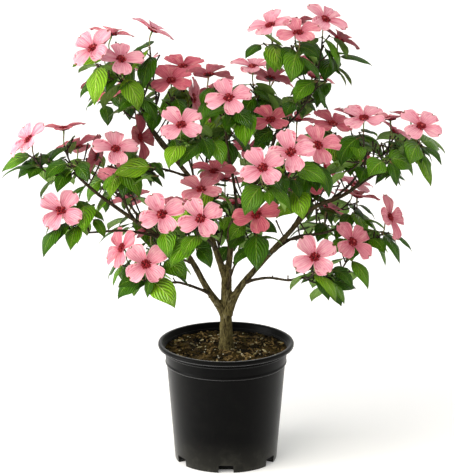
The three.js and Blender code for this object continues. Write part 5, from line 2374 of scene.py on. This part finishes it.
@dataclass
class Studio:
    """The white floor, the soft lights and the camera."""

    target: Place = (2.8, 0.0, 428.0)
    distance: float = 6000.0
    elevation: float = 16.0
    lens: float = 245.0
    sensor: float = 36.0
    sight: float = 60.0  # how far the camera sees, in metres
    floor_half: float = 20.0  # metres
    key_spread: float = 50.0  # degrees across, as seen from the plant
    aim: Place = (0.0, 0.0, 0.5)  # what the lights point at, in metres
    sky: Span = (0.3, 0.95)  # the dome's brightness at the horizon and overhead
    sky_height: float = 0.75  # of the dome, from where it is at its brightest
    lamps: tuple[Lamp, ...] = (
        Lamp("key", (-2.2, -2.2, 3.0), 0.0, 1.9, "#fffaf2"),
        Lamp("left_strip", (-1.8, -0.5, 0.35), 1.0, 40.0, "#ffffff"),
        Lamp("right_strip", (2.2, -0.2, 0.3), 1.0, 3.0, "#ffffff"),
    )

    def floor(self) -> None:
        """Lay the floor."""
        bpy.ops.object.select_all(action="DESELECT")
        bpy.ops.mesh.primitive_plane_add(size=2 * self.floor_half, location=(0, 0, 0))
        floor = bpy.context.object
        floor.name = "studio_floor"
        floor.data.materials.append(StudioWhite().make())
        floor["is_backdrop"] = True

    def hang(self, lamp: Lamp) -> None:
        """Hang a light that points at the crown.

        Args:
            lamp: the light.
        """
        data = bpy.data.lights.new(lamp.name, "AREA" if lamp.side else "SUN")
        if lamp.side:
            data.size = lamp.side
        else:
            data.angle = math.radians(self.key_spread)
        data.energy = lamp.power
        data.color = linear(lamp.tint)[:3]
        made = bpy.data.objects.new(lamp.name, data)
        bpy.context.scene.collection.objects.link(made)
        made.location = lamp.place
        way = Vector(self.aim) - Vector(lamp.place)
        made.rotation_euler = way.to_track_quat("-Z", "Y").to_euler()

    def camera(self) -> None:
        """Set up the camera at its angle over the floor."""
        data = bpy.data.cameras.new("camera")
        data.lens, data.sensor_width, data.clip_end = self.lens, self.sensor, self.sight
        made = bpy.data.objects.new("camera", data)
        bpy.context.scene.collection.objects.link(made)
        angle = math.radians(self.elevation)
        offset = Vector((0, -math.cos(angle), math.sin(angle))) * self.distance
        made.location = (Vector(self.target) + offset) * MILLI
        made.rotation_euler = (-offset).to_track_quat("-Z", "Y").to_euler()
        bpy.context.scene.camera = made

    def dome(self) -> None:
        """Set up the white dome, which is brightest overhead."""
        world = bpy.data.worlds.new("studio")
        world.use_nodes = True
        tree = world.node_tree
        height = add_node(tree, "SeparateXYZ", (add_node(tree, "TexCoord", output="Generated"),), 2)
        strength = add_node(tree, "MapRange", (height, 0.0, self.sky_height, *self.sky), **SMOOTH)
        background = tree.nodes["Background"]
        background.inputs[0].default_value = linear("#ffffff")
        tree.links.new(strength, background.inputs[1])
        bpy.context.scene.world = world

    def build(self) -> None:
        """Set up the whole studio."""
        self.floor()
        self.camera()
        self.dome()
        for lamp in self.lamps:
            self.hang(lamp)
        bpy.context.scene.view_settings.view_transform = "Standard"


def quarters_of(crown: Crown) -> dict[str, list[int]]:
    """Share the masses out among four quarters of the crown.

    Args:
        crown: the crown.

    Returns:
        The numbers of the masses of each quarter, by its name.
    """
    quarters: dict[str, list[int]] = {
        f"{depth}_{side}": [] for depth in ("front", "back") for side in ("left", "right")}
    for number, name in enumerate(crown.names):
        depth = "back" if name.startswith("back") else "front"
        middle = crown.twigs[number][0].start[0]
        quarters[f"{depth}_{'left' if middle < 0 else 'right'}"].append(number)
    return quarters


def main() -> None:
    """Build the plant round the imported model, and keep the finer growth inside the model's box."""
    logging.basicConfig(level=logging.INFO, format="%(name)s: %(message)s")
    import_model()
    cad_box = [list(corner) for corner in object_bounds()]
    Studio().build()
    NurseryPot().build()
    PottedSoil().build()
    skeleton = Skeleton()
    LimbBark(skeleton).build()
    crown = Crown(skeleton)
    growth = FineGrowth(skeleton, crown, tuple(np.array(corner) / MILLI for corner in cad_box))
    quarters = quarters_of(crown)
    Foliage(crown, growth).build()
    Blossom(crown).build(quarters)
    Twiggery(skeleton, crown, growth).build(quarters)
    counts = sum(map(len, crown.leaves)), sum(map(len, growth.leaves)), sum(map(len, growth.twigs))
    LOG.info("%d leaves, %d finer ones on %d side twigs", *counts)


if __name__ == "__main__":
    main()
